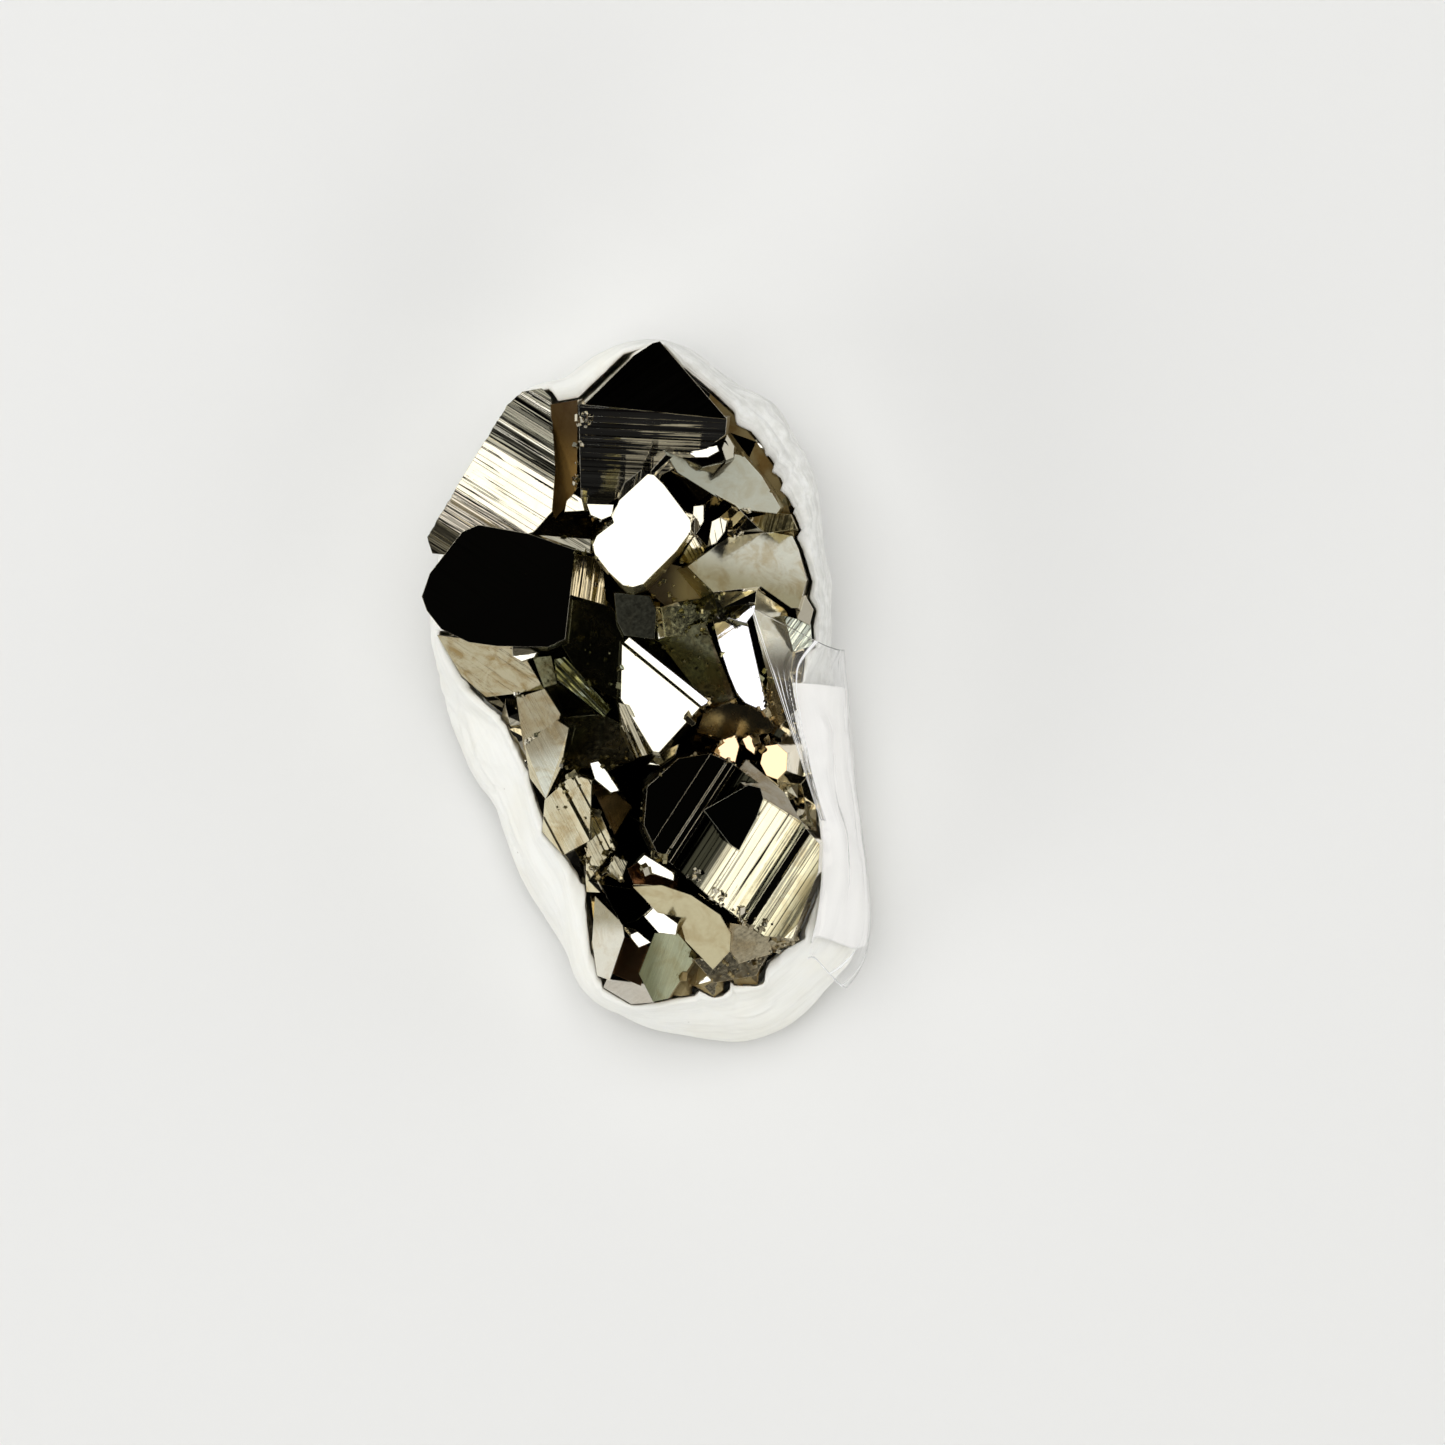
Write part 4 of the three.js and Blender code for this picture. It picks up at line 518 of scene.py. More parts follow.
def crumbs(points, on_ground):
    """Blocks of unequal edges, turned at random and sunk to their middle in the ground."""
    random = np.random.default_rng(CRUMB_SEED)
    places, sizes = [], []
    for x, y, reach, count, size in CRUMBS:
        near = np.hypot(points[:, 0] + SHIFT[0] - x, points[:, 1] + SHIFT[1] - y) < reach
        near = points[near & (on_ground | (reach < 1))]
        places.append(near[random.integers(0, len(near), count)])
        sizes.append(size * random.lognormal(*CRUMB_SPREAD, count))
    place, size = np.concatenate(places), np.concatenate(sizes)
    cube = np.array([[x, y, z] for x in (-0.5, 0.5) for y in (-0.5, 0.5) for z in (-0.5, 0.5)])
    stretch = random.uniform(*CRUMB_EDGES, (len(size), 1, 3)) * size[:, None, None]
    corner = (cube * stretch) @ turns(len(size), random).transpose(0, 2, 1) + place[:, None]
    sides = np.array([[0, 1, 3, 2], [4, 6, 7, 5], [0, 4, 5, 1],
                      [2, 3, 7, 6], [0, 2, 6, 4], [1, 5, 7, 3]])
    quads = (sides[None] + 8 * np.arange(len(size))[:, None, None]).reshape(-1, 4)
    mesh = bpy.data.meshes.new("small_crystals")
    mesh.from_pydata(corner.reshape(-1, 3) * MM, [], quads)
    return mesh


rock_points, rock_sides = scatter(pyrite_mesh, ROCK_SPACING)
seen = topmost(rock_points)
crumb_mesh = crumbs(rock_points[seen], ground(pyrite_mesh, rock_sides)[seen])
dress(crumb_mesh)
link("small_crystals", crumb_mesh, pyrite_metal)


# Side wrap
# A skirt of white padding tissue, packed round the sides up to the crystals' rim. It is
# soft and a little translucent, with folds round it and creases up it, and its upper lip
# is rolled in.
AXIS = (0.5 - SHIFT[0], 1.0 - SHIFT[1])
WRAP_SPACING = 0.16
# Steps of the surface round the axis and up the outside, over the lip and down inside.
ROUND = 720
RISE = 64
OVER = 8
DOWN = 7
# Levels of the tables of distances, and the height of one.
LEVELS = 60
LEVEL = 0.45
# Height of the lower edge, how far the outside ends below the CAD's top and lies under its
# skin, the gap between the lip and the rock, and how far the inside goes down.
FOOT = 1.5
TOP_DROP = 0.35
SKIN = 0.2
LIP = 0.12
INSIDE = 2.2
# From this share of its height up the skirt leans in, by up to half of its thickness over
# LEAN_TO. It is never thinner than the third number.
LEAN_FROM = 0.66
LEAN_TO = 0.3
THINNEST = 0.25
# How high the lip bulges, how uneven that is, and its rise inwards off the gathers.
LIP_BULGE = 0.3
RAGGED = 0.16
LIP_RISE = 0.5
# Hills: slant, cells round the skirt and up it, seed. They make the soft dents, the
# creases at their zeros, the fine dents, and the drift and the depth of the long folds.
HILLS = ((0.02, 46, 3, 1), (0.05, 30, 4, 2), (-0.03, 170, 12, 3), (0, 24, 3, 4), (0, 18, 2, 6))
SOFT_DEPTH = 0.13
CREASE_DEPTH = 0.14
CREASE_WIDTH = 0.07
FINE_DEPTH = 0.06
# Long folds, gathered and wide: the sine's rate up the skirt, its drift, and its depth.
# Those on the upper right are gathered, about this direction and within these degrees.
GATHERED_FOLDS = (40, 5, 0.16)
WIDE_FOLDS = (13, 4, 0.15)
GATHERED_AT = (52, 26)
# Beside the paper strip the skirt is pressed in: directions in degrees, and depths there.
PRESSED = ((-60, -50, -44, -39, -24, 0, 14), (0.0, 0.3, 1.1, 1.55, 1.45, 0.75, 0.0))


def round_axis(points):
    """Each point's direction round the axis, as a whole number of steps, and distance."""
    x, y = points[:, 0] - AXIS[0], points[:, 1] - AXIS[1]
    return (np.arctan2(y, x) / (2 * np.pi) * ROUND).astype(int) % ROUND, np.hypot(x, y)


def girth(points):
    """Farthest distance from the axis of any of the points, for every direction round the
    axis and every level above the table. Each direction takes in its two neighbours, and
    an empty level repeats the one below."""
    turn, distance = round_axis(points)
    level = np.clip((points[:, 2] / LEVEL).astype(int), 0, LEVELS - 1)
    far = np.zeros((ROUND, LEVELS))
    np.maximum.at(far, (turn, level), distance)
    far = np.maximum(far, np.maximum(np.roll(far, 1, 0), np.roll(far, -1, 0)))
    for k in range(1, LEVELS):
        far[:, k] = np.where(far[:, k] == 0, far[:, k - 1], far[:, k])
    return far


def smooth_round(values, width):
    """Averages an array over its neighbours round the axis, with a bell of that width."""
    span = np.arange(-3 * width, 3 * width + 1)
    bell = np.exp(-0.5 * (span / width) ** 2)
    bell /= bell.sum()
    return sum(w * np.roll(values, s, 0) for w, s in zip(bell, span))


def at_level(table, height, step=np.arange(ROUND)[:, None]):
    """Reads a girth table at a height, between its levels, for every direction or some."""
    place = np.clip(height / LEVEL - 0.5, 0, LEVELS - 1.001)
    low = place.astype(int)
    part = place - low
    return table[step, low] * (1 - part) + table[step, low + 1] * part


def value_noise(u, v, across, up, seed):
    """Smooth random hills: a grid of random heights, across cells round and up cells high,
    read between its corners with an S-shaped weight. It closes on itself round the axis."""
    heights = np.random.default_rng(seed).uniform(-1, 1, (across, up + 2))
    x, y = (u * across) % across, np.clip(v, 0, 1) * up
    i, j = x.astype(int) % across, y.astype(int)
    fx, fy = x % 1, y % 1
    fx, fy = fx * fx * (3 - 2 * fx), fy * fy * (3 - 2 * fy)
    k = (i + 1) % across
    low = heights[i, j] * (1 - fx) + heights[k, j] * fx
    high = heights[i, j + 1] * (1 - fx) + heights[k, j + 1] * fx
    return low * (1 - fy) + high * fy


def from_axis(degrees, r, z):
    """Points at a direction, a distance from the axis and a height."""
    a = np.radians(degrees)
    return AXIS[0] + r * np.cos(a), AXIS[1] + r * np.sin(a), z


def grid_mesh(name, x, y, z, closed):
    """A mesh over a grid of points in millimetres, closed round its first direction or
    not, with smooth shading and a UV map along both directions."""
    rows, cols = x.shape
    points = np.stack([x, y, z], -1).reshape(-1, 3) * MM
    last = rows if closed else rows - 1
    i, j = np.meshgrid(np.arange(last), np.arange(cols - 1), indexing="ij")
    k = (i + 1) % rows
    quads = np.stack([i * cols + j, k * cols + j, k * cols + j + 1, i * cols + j + 1], -1)
    mesh = bpy.data.meshes.new(name)
    mesh.from_pydata(points, [], quads.reshape(-1, 4))
    mesh.polygons.foreach_set("use_smooth", np.ones(len(mesh.polygons), bool))
    u = np.stack([i, i + 1, i + 1, i], -1) / last
    v = np.stack([j, j, j + 1, j + 1], -1) / (cols - 1)
    layer = mesh.uv_layers.new(name="UVMap")
    layer.data.foreach_set("uv", np.stack([u, v], -1).astype(np.float32).ravel())
    return mesh


wrap_points, _ = scatter(merged("side_wrap"), WRAP_SPACING)
rock_girth = girth(rock_points)
wrap_girth = smooth_round(girth(wrap_points), 4)
wrap_top = np.zeros(ROUND)
np.maximum.at(wrap_top, round_axis(wrap_points)[0], wrap_points[:, 2])
wrap_top = smooth_round(wrap_top, 5)
TURN = (np.arange(ROUND)[:, None] + 0.5) / ROUND
DEGREES = (TURN * 360 + 180) % 360 - 180
wrap_girth -= smooth_round(np.interp(DEGREES, *PRESSED), 6)


def wrap_surface():
    """The skirt runs up its outside from the foot to the lip, turns in over the lip in
    half a circle, and goes down inside next to the rock. Outside, its distance from the
    axis is the CAD's, less a skin, plus four things that fade out at the lip: soft hills,
    creases (a bell of a noise's distance from zero, taken off), fine hills, and long folds
    round it. Those are sines of the height plus a drift, many on the upper right and a few
    wide ones of uneven depth elsewhere. Near the top the skirt leans in, to a thin lip of
    uneven height. Also returns how near the rim each point is, 1 on the inside."""
    t = np.linspace(0, 1, RISE)[None, :]
    z = FOOT + (wrap_top[:, None] - TOP_DROP - FOOT) * t
    soft, crease, fine, drift, deep = [
        value_noise(TURN + slant * t, t, *cells) for slant, *cells in HILLS]
    uneven = SOFT_DEPTH * soft - CREASE_DEPTH * np.exp(-(crease / CREASE_WIDTH) ** 2)
    uneven += FINE_DEPTH * fine
    gathered = np.exp(-((DEGREES - GATHERED_AT[0]) / GATHERED_AT[1]) ** 2)
    rate, sway, depth = GATHERED_FOLDS
    uneven += gathered * np.sin(t * rate + sway * drift) * depth
    rate, sway, depth = WIDE_FOLDS
    uneven += (1 - gathered) * (0.6 + 0.4 * deep) * np.sin(t * rate + sway * drift) * depth
    fade = np.sin(np.pi * np.clip(t * 0.94 + 0.06, 0, 1)) ** 0.6
    outer = at_level(wrap_girth, z) - SKIN + uneven * fade
    least = at_level(rock_girth, z) + LIP
    lean = np.clip((t - LEAN_FROM) / (1 - LEAN_FROM), 0, 1) ** 2
    outer = outer - np.maximum(outer - least - LEAN_TO, 0) * lean * 0.5
    outer = np.maximum(outer, least + THINNEST)
    # over the lip and down inside
    s = np.linspace(0, 1, OVER + 1)[None, 1:]
    edge = outer[:, -1:]
    inner = least[:, -1:]
    bulge = LIP_BULGE + RAGGED * value_noise(TURN, 0 * t, 150, 1, 5)[:, :1]
    lip_r = inner + (edge - inner) * (0.5 + 0.5 * np.cos(np.pi * s))
    lip_z = z[:, -1:] + bulge * np.sin(np.pi * s) + LIP_RISE * s * (1 - gathered)
    down_z = lip_z[:, -1:] - INSIDE * np.linspace(0, 1, DOWN + 1)[None, 1:]
    down_r = at_level(rock_girth, np.maximum(down_z, 0.3)) + LIP
    r = np.concatenate([outer, lip_r, down_r], 1)
    z = np.concatenate([z, lip_z, down_z], 1)
    rim = np.concatenate([0 * outer, s ** 3 + 0 * lip_r, 1 + 0 * down_r], 1)
    return r, z, rim


def bumped(tree, height, strength, depth):
    """The normal tipped by a height, with the depth in millimetres."""
    made = node_of(tree, "Bump")
    fill(tree, made, {"Height": height, "Strength": strength, "Distance": depth * MM})
    return made.outputs[0]


def on_map(tree, along, across):
    """Place on the UV map, stretched to these many units each way."""
    made = node_of(tree, "Mapping")
    uv = node_of(tree, "TexCoord").outputs["UV"]
    fill(tree, made, {"Vector": uv, "Scale": (along, across, 1.0)})
    return made.outputs[0]


# Colours of the tissue: cream and cool, each in two shades, specks, and the brown at the lip
# by the rock.
CREAM = ((0.97, 0.97, 0.91, 1), (0.94, 0.93, 0.85, 1))
COOL = ((0.74, 0.74, 0.70, 1), (0.84, 0.84, 0.81, 1))
SPECK = (0.45, 0.42, 0.36, 1)
LIP_BROWN = (0.44, 0.38, 0.28, 1)


def wrap_material():
    """White tissue: cream in soft clouds, cooler and more pleated on the far right, brown
    at the lip where it meets the rock, less so on the right. It has small specks, pleats in
    the normal with painted shade along them in the colour, crossed wrinkles in the normal,
    and lets a little light through."""
    material, tree, shader = new_material("white_padding")
    place = millimetres(tree)
    cloud = between(tree, noise(tree, place, 0.16, 4.0), 0.35, 0.7)
    cream = blend(tree, cloud, *CREAM)
    flecks = between(tree, noise(tree, place, 0.9, 4.0, 0.6), 0.35, 0.65)
    cool = blend(tree, flecks, *COOL)
    far_right = between(tree, vectors(tree, "DOT_PRODUCT", place, (0.9, 0.44, 0.0)), 10.0, 18.0)
    shade = blend(tree, far_right, cream, cool)
    dots = node_of(tree, "TexVoronoi")
    fill(tree, dots, {"Vector": place, "Scale": 0.35})
    speck = between(tree, dots.outputs["Distance"], 0.045, 0.02)
    shade = blend(tree, sums(tree, "MULTIPLY", speck, 0.5), shade, SPECK)
    # darker brown at the lip by the rock, less so on the right
    touch = sums(tree, "MULTIPLY", attribute(tree, "rim", "Fac"), noise(tree, place, 0.9, 3.0))
    rightward = vectors(tree, "DOT_PRODUCT", place, (1.0, 0.0, 0.0))
    touch = sums(tree, "MULTIPLY", touch, between(tree, rightward, 6.0, 13.0, 1.0, 0.3))
    shade = blend(tree, touch, shade, LIP_BROWN)
    folds = noise(tree, on_map(tree, 34.0, 26.0), 1.0, 3.0, 0.6, twist=0.6)
    wrinkles = node_of(tree, "TexNoise", noise_type="RIDGED_MULTIFRACTAL")
    fill(tree, wrinkles, {"Vector": place, "Scale": 0.3, "Detail": 5.0})
    pleats = sums(tree, "MULTIPLY", folds, sums(tree, "MULTIPLY_ADD", far_right, 1.7, 0.3))
    relief = sums(tree, "ADD", wrinkles.outputs["Fac"], pleats)
    # the colour darkens along the folds, more on the far right: painted shade
    dark = sums(tree, "MULTIPLY_ADD", far_right, -0.08, 0.97)
    painted_fold_shade = between(tree, folds, 0.40, 0.56, dark, 1.0)
    fill(tree, shader, {
        "Base Color": vectors(tree, "SCALE", shade, scale=painted_fold_shade),
        "Normal": bumped(tree, relief, 0.6, 0.22),
        "Roughness": 0.55,
        "Subsurface Weight": 0.2,
        "Subsurface Radius": (1.0, 0.95, 0.85),
        "Subsurface Scale": 0.8 * MM,
    })
    return material


wrap_r, wrap_z, wrap_rim = wrap_surface()
wrap_mesh = grid_mesh("padding", *from_axis(DEGREES, wrap_r, wrap_z), closed=True)
put(wrap_mesh, "rim", "FLOAT", wrap_rim, "POINT")
link("padding", wrap_mesh, wrap_material(), "side_wrap")


# Paper strip
# A strip of thin white paper, bare, that lies on the right side of the padding, held by
# the film. Its upper part is turned in over the padding's rim up to the crystals.

# Directions in degrees of its two ends, each at the lower and at the inner edge.
STRIP_UPPER = (-1.4, 0.6)
STRIP_LOWER = (-49.7, -57.9)
# Height of the lower edge and of the bend, as parts of the padding's above WRAP_LOW, the
# distance off the padding, and the share of the width at which it bends.
WRAP_LOW = 2.3
STRIP_RISE = (0.24, 1.0)
STRIP_OFF = 0.94
STRIP_BEND = 0.68
# Waves: depth, and rate along and across. How far the lower edge stands off besides, and
# how far the paper climbs past the bend.
STRIP_WAVES = ((0.05, 19, 3), (0.03, 43, -5))
STRIP_LIFT = 0.08
STRIP_CLIMB = 1.2
# The inner edge's distance from the padding's axis at these directions.
STRIP_INNER = ((-58, -51, -44, -36, -27, -15, 0), (30.5, 27.4, 24.4, 20.5, 17.6, 15.5, 14.3))
PAPER = 0.12
PAPER_WHITES = ((0.93, 0.92, 0.89, 1), (0.90, 0.89, 0.87, 1))


def on_padding(degrees, part, off):
    """Distance from the axis and height of points off the padding's outside: direction
    round the axis, height as a part of the padding's, and distance outwards."""
    turn = (degrees / 360 * ROUND - 0.5) % ROUND
    low = turn.astype(int)
    share = turn - low
    high = (low + 1) % ROUND
    top = wrap_top[low] * (1 - share) + wrap_top[high] * share
    z = WRAP_LOW + (top - WRAP_LOW) * part
    near, far = at_level(wrap_girth, z, low), at_level(wrap_girth, z, high)
    return near * (1 - share) + far * share + off, z


def inner_edge(degrees):
    """Distance of the strip's inner edge from the axis: a cubic through STRIP_INNER."""
    return np.polyval(np.polyfit(*STRIP_INNER, 3), degrees)


def ease(value, start):
    """0 up to a start and 1 at 1, with a rounded corner: half of x plus the square root of
    x squared plus a small constant, over the way left, where x is counted from the start."""
    x = value - start
    return np.minimum(1, 0.5 * (x + np.sqrt(x * x + 0.004)) / (1 - start))


def thick(piece, thickness):
    """Gives a sheet its thickness, outwards."""
    solid = piece.modifiers.new("thickness", "SOLIDIFY")
    solid.thickness = thickness * MM
    solid.offset = 1.0


def waves(rows, u, v):
    """The sum of sines over a grid: each row is a depth and the rates along u and v."""
    return sum(depth * np.sin(along * u + across * v) for depth, along, across in rows)


def paper_surface():
    """A grid: u runs along the strip, v up it. To the bend it follows the padding's outside
    with waves of two lengths, and its lower edge stands off by the cube of 1 less v. Past
    the bend it runs inwards and a little up in a quarter wave, to its inner edge."""
    u = np.linspace(0, 1, 150)[:, None]
    v = np.linspace(0, 1, 60)[None, :]
    upper = STRIP_UPPER[0] + (STRIP_UPPER[1] - STRIP_UPPER[0]) * v
    lower = STRIP_LOWER[0] + (STRIP_LOWER[1] - STRIP_LOWER[0]) * v
    degrees = upper + (lower - upper) * u
    climb = 1 - ease(1 - v, 1 - STRIP_BEND)
    part = STRIP_RISE[0] + (STRIP_RISE[1] - STRIP_RISE[0]) * climb
    off = STRIP_OFF + waves(STRIP_WAVES, u, v) + STRIP_LIFT * (1 - v) ** 3
    r, z = on_padding(degrees, part + 0 * u, off)
    past = ease(v, STRIP_BEND)
    r = r - (r - inner_edge(degrees)) * np.sin(np.pi / 2 * past)
    return from_axis(degrees, r, z + STRIP_CLIMB * np.sin(np.pi / 2 * past))


def paper_material():
    """White paper: soft clouds of shade and fine fibres."""
    material, tree, shader = new_material("label_paper")
    place = millimetres(tree)
    cloud = between(tree, noise(tree, place, 0.12, 3.0), 0.35, 0.7)
    fibres = noise(tree, place, 3.0, 5.0, 0.7)
    fill(tree, shader, {
        "Base Color": blend(tree, cloud, *PAPER_WHITES),
        "Normal": bumped(tree, fibres, 0.25, 0.03),
        "Roughness": 0.7,
    })
    return material


strip_mesh = grid_mesh("paper_strip", *paper_surface(), closed=False)
strip = link("paper_strip", strip_mesh, paper_material(), "paper_label")
thick(strip, PAPER)


# Clear tape
# Clear film tape laid over the paper strip. Its free edge stands up over the crystals in
# long creases, and beyond the strip it ends in a loose tail.

# Directions in degrees of its two ends, how much farther the loose end runs at the free
# edge, the height of the lower edge as a part of the padding's, and the distance off it.
TAPE_ENDS = (10.0, -57.0)
TAPE_SLANT = 3
TAPE_FOOT = 0.07
TAPE_OFF = 1.32
# The free edge runs between two points of the drawing, over this share of the length. The
# film leaves the padding at this share of the width and bulges up in between.
FLAP_FROM = (10.6, 8.6, 23.3)
FLAP_TO = (17.6, -12.6, 19.4)
FLAP_LENGTH = 0.62
FLAP_FOLD = 0.6
FLAP_BULGE = 1.3
# Further along, the free edge lies this far out from and above the paper's inner edge.
TAIL_OUT = 0.1
TAIL_ABOVE = 1.9
FILM = 0.03
FILM_WAVES = ((0.07, 31, 7), (0.05, 57, -11))
# Creases: how many, height, seed, and the fan's least width and how much more at its start.
CREASES = 9
CREASE_HEIGHT = 0.12
CREASE_SEED = 5
FAN = (0.10, 0.24)
# Places of the short creases across the tail, and widths of the pale borders: at the ends
# and the free edge, and at the lower edge, as shares of the film.
TAIL_CREASES = (0.16, 0.36)
BORDER = 0.004
LOWER_BORDER = 0.012


def film_creases(u, v, along):
    """How creased the film is, 0 to 1. A fan counts the distance from the free edge; it is
    wide where the tape starts and narrows with the square of the way left. Creases are
    bells at places in the fan that wander in a sine, each coming and going along the tape,
    except the outermost two. They end where the tail begins. Two short ones cross the
    tail, and the edges have a pale border."""
    fan = (1 - v) / (FAN[0] + FAN[1] * (1 - along) ** 2)
    random = np.random.default_rng(CREASE_SEED)
    crease = np.zeros_like(fan)
    for place in np.linspace(0.04, 0.98, CREASES):
        outer = abs(place - 0.5) > 0.4
        place = place + random.uniform(-0.05, 0.05) + 0.03 * np.sin(9 * u + random.uniform(0, 6))
        strength = np.clip(0.5 + 0.8 * np.sin(random.uniform(4, 11) * u + random.uniform(0, 6)), 0, 1)
        strength = np.maximum(strength, 0.9) if outer else strength * np.clip((u - 0.1) / 0.15, 0, 1)
        crease += strength * np.exp(-((fan - place) / random.uniform(0.012, 0.035)) ** 2)
    crease = crease * np.clip((0.72 - u) / 0.08, 0, 1)
    for place in TAIL_CREASES:
        bent = place + 0.9 * (u - 0.93)
        crease += 0.8 * np.exp(-((v - bent) / 0.012) ** 2) * np.clip((u - 0.88) / 0.05, 0, 1)
    crease = np.clip(crease, 0, 1)
    border = np.minimum((1 - u) / BORDER, np.minimum(v / LOWER_BORDER, (1 - v) / BORDER))
    crease = np.maximum(crease, 0.9 * np.exp(-border ** 2))
    return np.maximum(crease, 0.4 * np.exp(-(u / BORDER) ** 2))


def film_surface():
    """A grid: u runs along the tape and v across it, from its lower edge, closer together
    towards the free edge. Up to the fold it lies on the padding. Past it, it rises to a
    straight free edge between two points, and further along to a line over the paper
    strip's inner edge. In between it bulges up in half a wave, lower along the tape. Small
    sine waves run along it, and it is a little higher where it is creased."""
    u = np.linspace(0, 1, 220)[:, None]
    v = 1 - (1 - np.linspace(0, 1, 130)[None, :]) ** 1.5
    degrees = TAPE_ENDS[0] + (TAPE_ENDS[1] - TAPE_SLANT * v - TAPE_ENDS[0]) * u
    wave = waves(FILM_WAVES, u, v)
    lie = 1 - ease(1 - v, 1 - FLAP_FOLD)
    part = TAPE_FOOT + (1 - TAPE_FOOT) * lie + 0 * u
    r, z = on_padding(degrees, part, TAPE_OFF + wave * (0.2 + 0.8 * v))
    x, y, z = from_axis(degrees, r, z)
    rise = ease(v, FLAP_FOLD)
    along = np.minimum(1, u / FLAP_LENGTH)
    past = np.clip(2.2 * (u - FLAP_LENGTH) / (1 - FLAP_LENGTH), 0, 1)
    past = past * past * (3 - 2 * past)
    over_rim = from_axis(degrees, inner_edge(degrees) + TAIL_OUT, z + TAIL_ABOVE)
    shift = (*SHIFT, 0)
    made = []
    for k, here in enumerate((x, y, z)):
        edge = FLAP_FROM[k] - shift[k] + (FLAP_TO[k] - FLAP_FROM[k]) * along
        edge = edge + (over_rim[k] - edge) * past
        made.append(here + (edge - here) * rise)
    crease = film_creases(u, v, along)
    bulge = FLAP_BULGE * np.sin(np.pi * rise) * (1 - 0.7 * along)
    made[2] = made[2] + bulge + wave * rise * 1.5 + CREASE_HEIGHT * crease
    return made, crease


def film_material():
    """Clear film: colourless and smooth, clouded white along its creases and edges, partly
    as creased film whitens and partly as painted highlights of the light on its folds, with
    the least unevenness along its length."""
    material, tree, shader = new_material("clear_film")
    crease = attribute(tree, "crease", "Fac")
    drawn = noise(tree, on_map(tree, 3.0, 14.0), 1.0, 2.0, 0.5, twist=0.4)
    fill(tree, shader, {
        # less clear and white along creases and edges: partly the whitening of creased film, partly
        # painted highlights
        "Transmission Weight": between(tree, crease, 0.25, 0.9, 1.0, 0.25),
        "Roughness": between(tree, crease, 0.2, 0.9, 0.04, 0.4),
        "Normal": bumped(tree, drawn, 0.15, 0.08),
        "Base Color": (1.0, 1.0, 1.0, 1),
        "IOR": 1.35,
    })
    return material


film_points, film_crease = film_surface()
film_mesh = grid_mesh("film_tape", *film_points, closed=False)
put(film_mesh, "crease", "FLOAT", film_crease, "POINT")
film = link("film_tape", film_mesh, film_material(), "clear_tape")
thick(film, FILM)
# so thin and clear a film shades nothing and sends no soft light back
film.visible_shadow = False
film.visible_diffuse = False


# Table and light
# A plain pale table top, and soft studio light: two soft boxes that the crystal faces
# mirror, a dark ceiling, pale walls, and even lights that the crystals don't mirror.
# Lengths are in metres here.
TABLE_HALF = 2
TABLE_COLOUR = (0.805, 0.805, 0.79, 1)
BOX_AIM = (0, 0, 0.02)
BOX_DISTANCE = 1.2

table_material, tree, shader = new_material("table")
fill(tree, shader, {"Base Color": TABLE_COLOUR, "Roughness": 0.6})
far, near = TABLE_HALF, -TABLE_HALF
table_mesh = bpy.data.meshes.new("table")
table_mesh.from_pydata(
    [(near, near, 0), (far, near, 0), (far, far, 0), (near, far, 0)], [], [(0, 1, 2, 3)])
table_mesh.materials.append(table_material)
table = bpy.data.objects.new("table", table_mesh)
scene.collection.objects.link(table)


def soft_box(name, azimuth, zenith, size, shine, glossy=True, colour=(1, 1, 1)):
    """An area light in the direction given, facing the specimen. Its power follows from
    how bright its face looks: power is pi times area times shine."""
    light = bpy.data.lights.new(name, "AREA")
    light.shape = "RECTANGLE"
    light.size, light.size_y = size
    light.energy = math.pi * size[0] * size[1] * shine
    light.color = colour
    lamp = bpy.data.objects.new(name, light)
    outward = Vector(leaning(azimuth, zenith))
    lamp.location = Vector(BOX_AIM) + outward * BOX_DISTANCE
    lamp.rotation_euler = outward.to_track_quat("Z", "Y").to_euler()
    lamp.visible_glossy = glossy
    scene.collection.objects.link(lamp)


soft_box("key_box", 128, 45, (0.5, 0.5), 1.6)
soft_box("key_glow", 128, 45, (0.5, 0.5), 1.2, glossy=False)
soft_box("fill_box", -33, 52, (0.55, 0.55), 1.25, colour=(1.0, 0.97, 0.9))
soft_box("overhead", 110, 14, (1.1, 1.1), 2.85, glossy=False)
for side, azimuth, shine in (("left", 200, 2.8), ("near", 285, 2.5), ("right", 15, 1.2)):
    soft_box("low_" + side, azimuth, 64, (0.7, 0.5), shine, glossy=False)

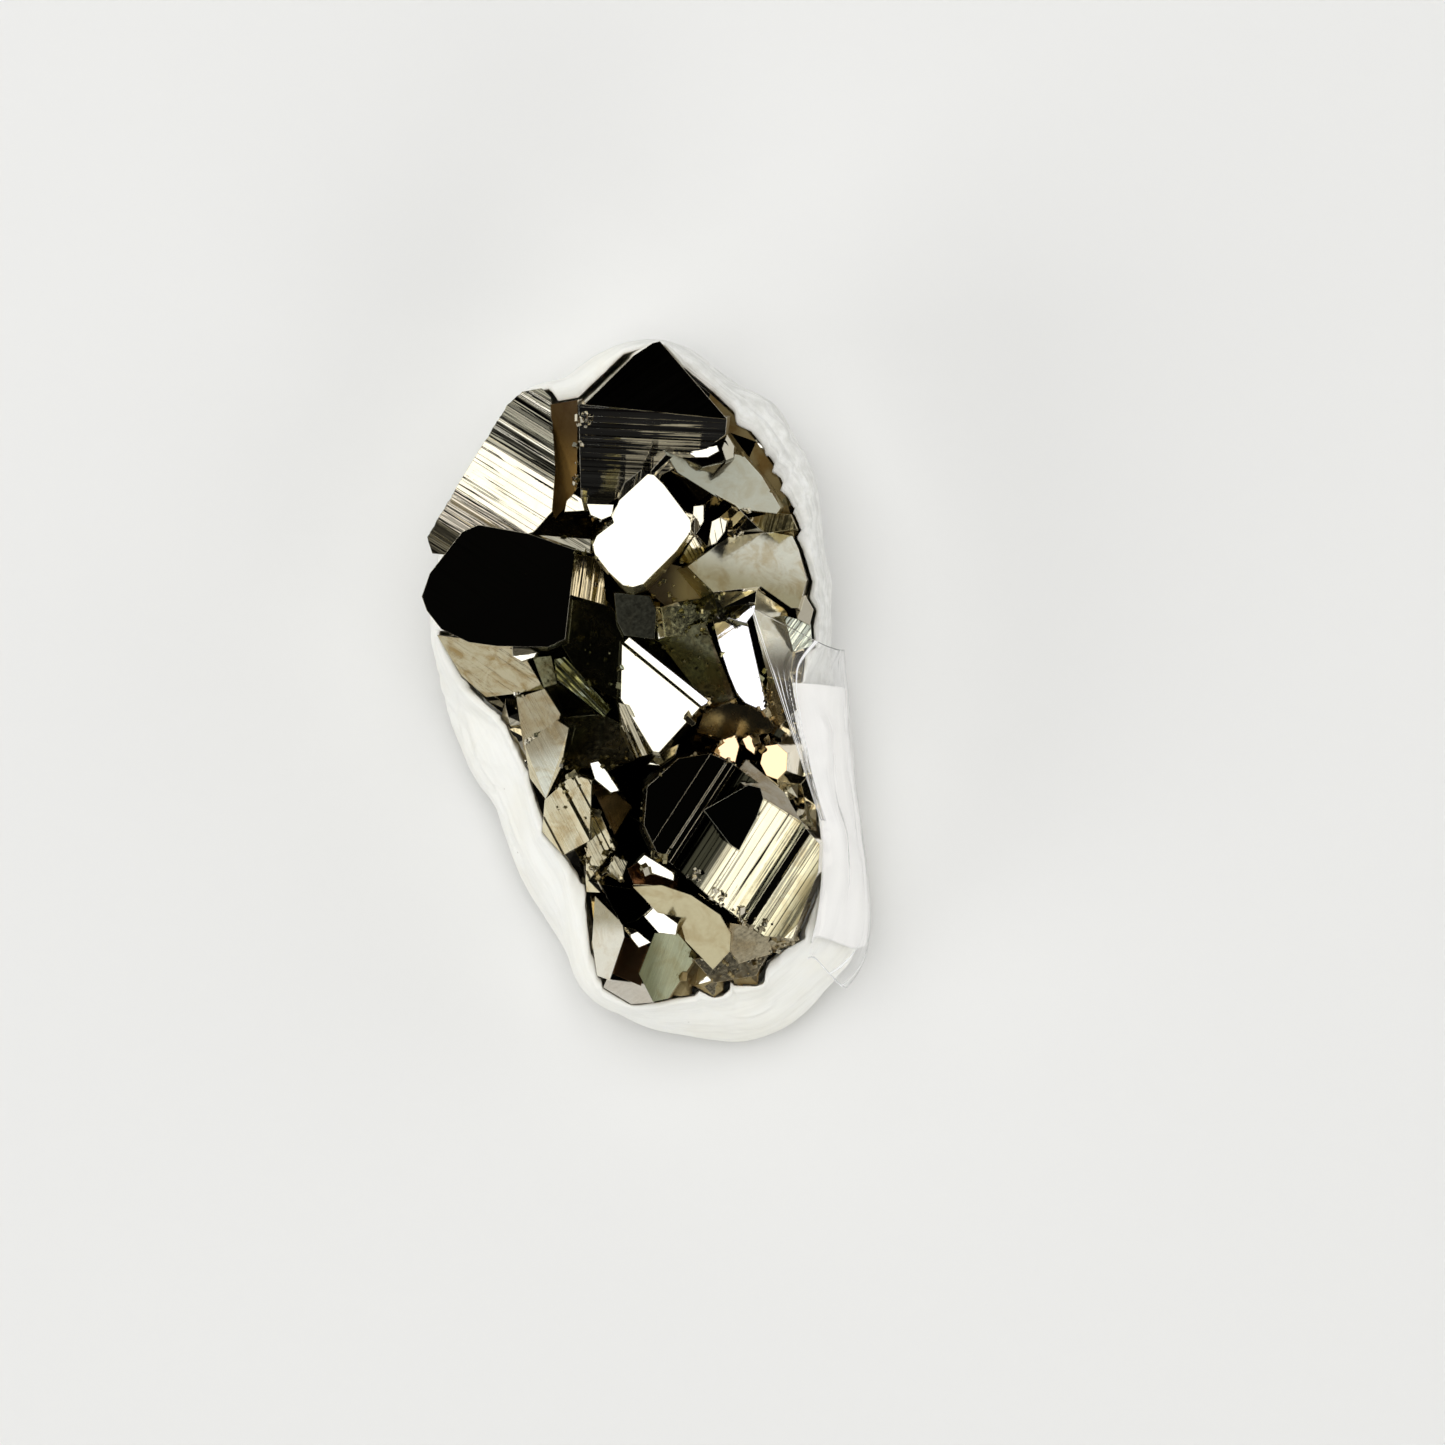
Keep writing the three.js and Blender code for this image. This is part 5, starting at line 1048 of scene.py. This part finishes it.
# Brightness of the room by height above the horizon. Dark cards stand on the near side
# and round the key box: direction, and the cosines where their shade starts and is full.
ROOM = ((0.0, 0.75), (0.25, 0.65), (0.55, 0.46), (0.86, 0.002))
CARDS = (((264, 57), 0.81, 0.90), ((128, 45), 0.76, 0.88))
CARD_SHINE = 0.03

world = bpy.data.worlds.new("studio")
scene.world = world
world.use_nodes = True
tree = world.node_tree
tree.nodes.clear()
out = node_of(tree, "OutputWorld")
background = node_of(tree, "Background")
ramp = node_of(tree, "ValToRGB")
coord = node_of(tree, "TexCoord")
split = node_of(tree, "SeparateXYZ")
fill(tree, split, {"Vector": coord.outputs["Generated"]})
fill(tree, ramp, {"Fac": split.outputs["Z"]})
ramp.color_ramp.interpolation = "EASE"
while len(ramp.color_ramp.elements) < len(ROOM):
    ramp.color_ramp.elements.new(0.5)
for stop, (place, value) in zip(ramp.color_ramp.elements, ROOM):
    stop.position = place
    stop.color = (value, value, value, 1)
shaded = 1.0
for towards, start, full in CARDS:
    facing = vectors(tree, "DOT_PRODUCT", coord.outputs["Generated"], tuple(leaning(*towards)))
    card = between(tree, facing, start, full, 1.0, CARD_SHINE)
    shaded = sums(tree, "MULTIPLY", shaded, card)
fill(tree, background, {"Color": ramp.outputs["Color"], "Strength": shaded})
fill(tree, out, {"Surface": background.outputs[0]})

# Camera
# The photograph looks straight down on the specimen from well above it. The frame is
# 144.5 mm wide half way up the specimen, and its middle lies beside the specimen's own.
FRAME_WIDTH = 144.5 * MM
MID_HEIGHT = 15 * MM
CAMERA_RISE = 0.70
CAMERA_OVER = ((7.85 - SHIFT[0]) * MM, (-2.85 - SHIFT[1]) * MM)
SENSOR = 36.0

camera_data = bpy.data.cameras.new("camera")
camera_data.sensor_width = SENSOR
camera_data.lens = SENSOR * CAMERA_RISE / FRAME_WIDTH
camera_data.clip_start = 0.01
camera_data.clip_end = 10.0
camera = bpy.data.objects.new("camera", camera_data)
camera.location = (CAMERA_OVER[0], CAMERA_OVER[1], MID_HEIGHT + CAMERA_RISE)
scene.collection.objects.link(camera)
scene.camera = camera

# Colours are shown as they are, with no tone curve over them.
scene.view_settings.view_transform = "Standard"
scene.view_settings.look = "None"
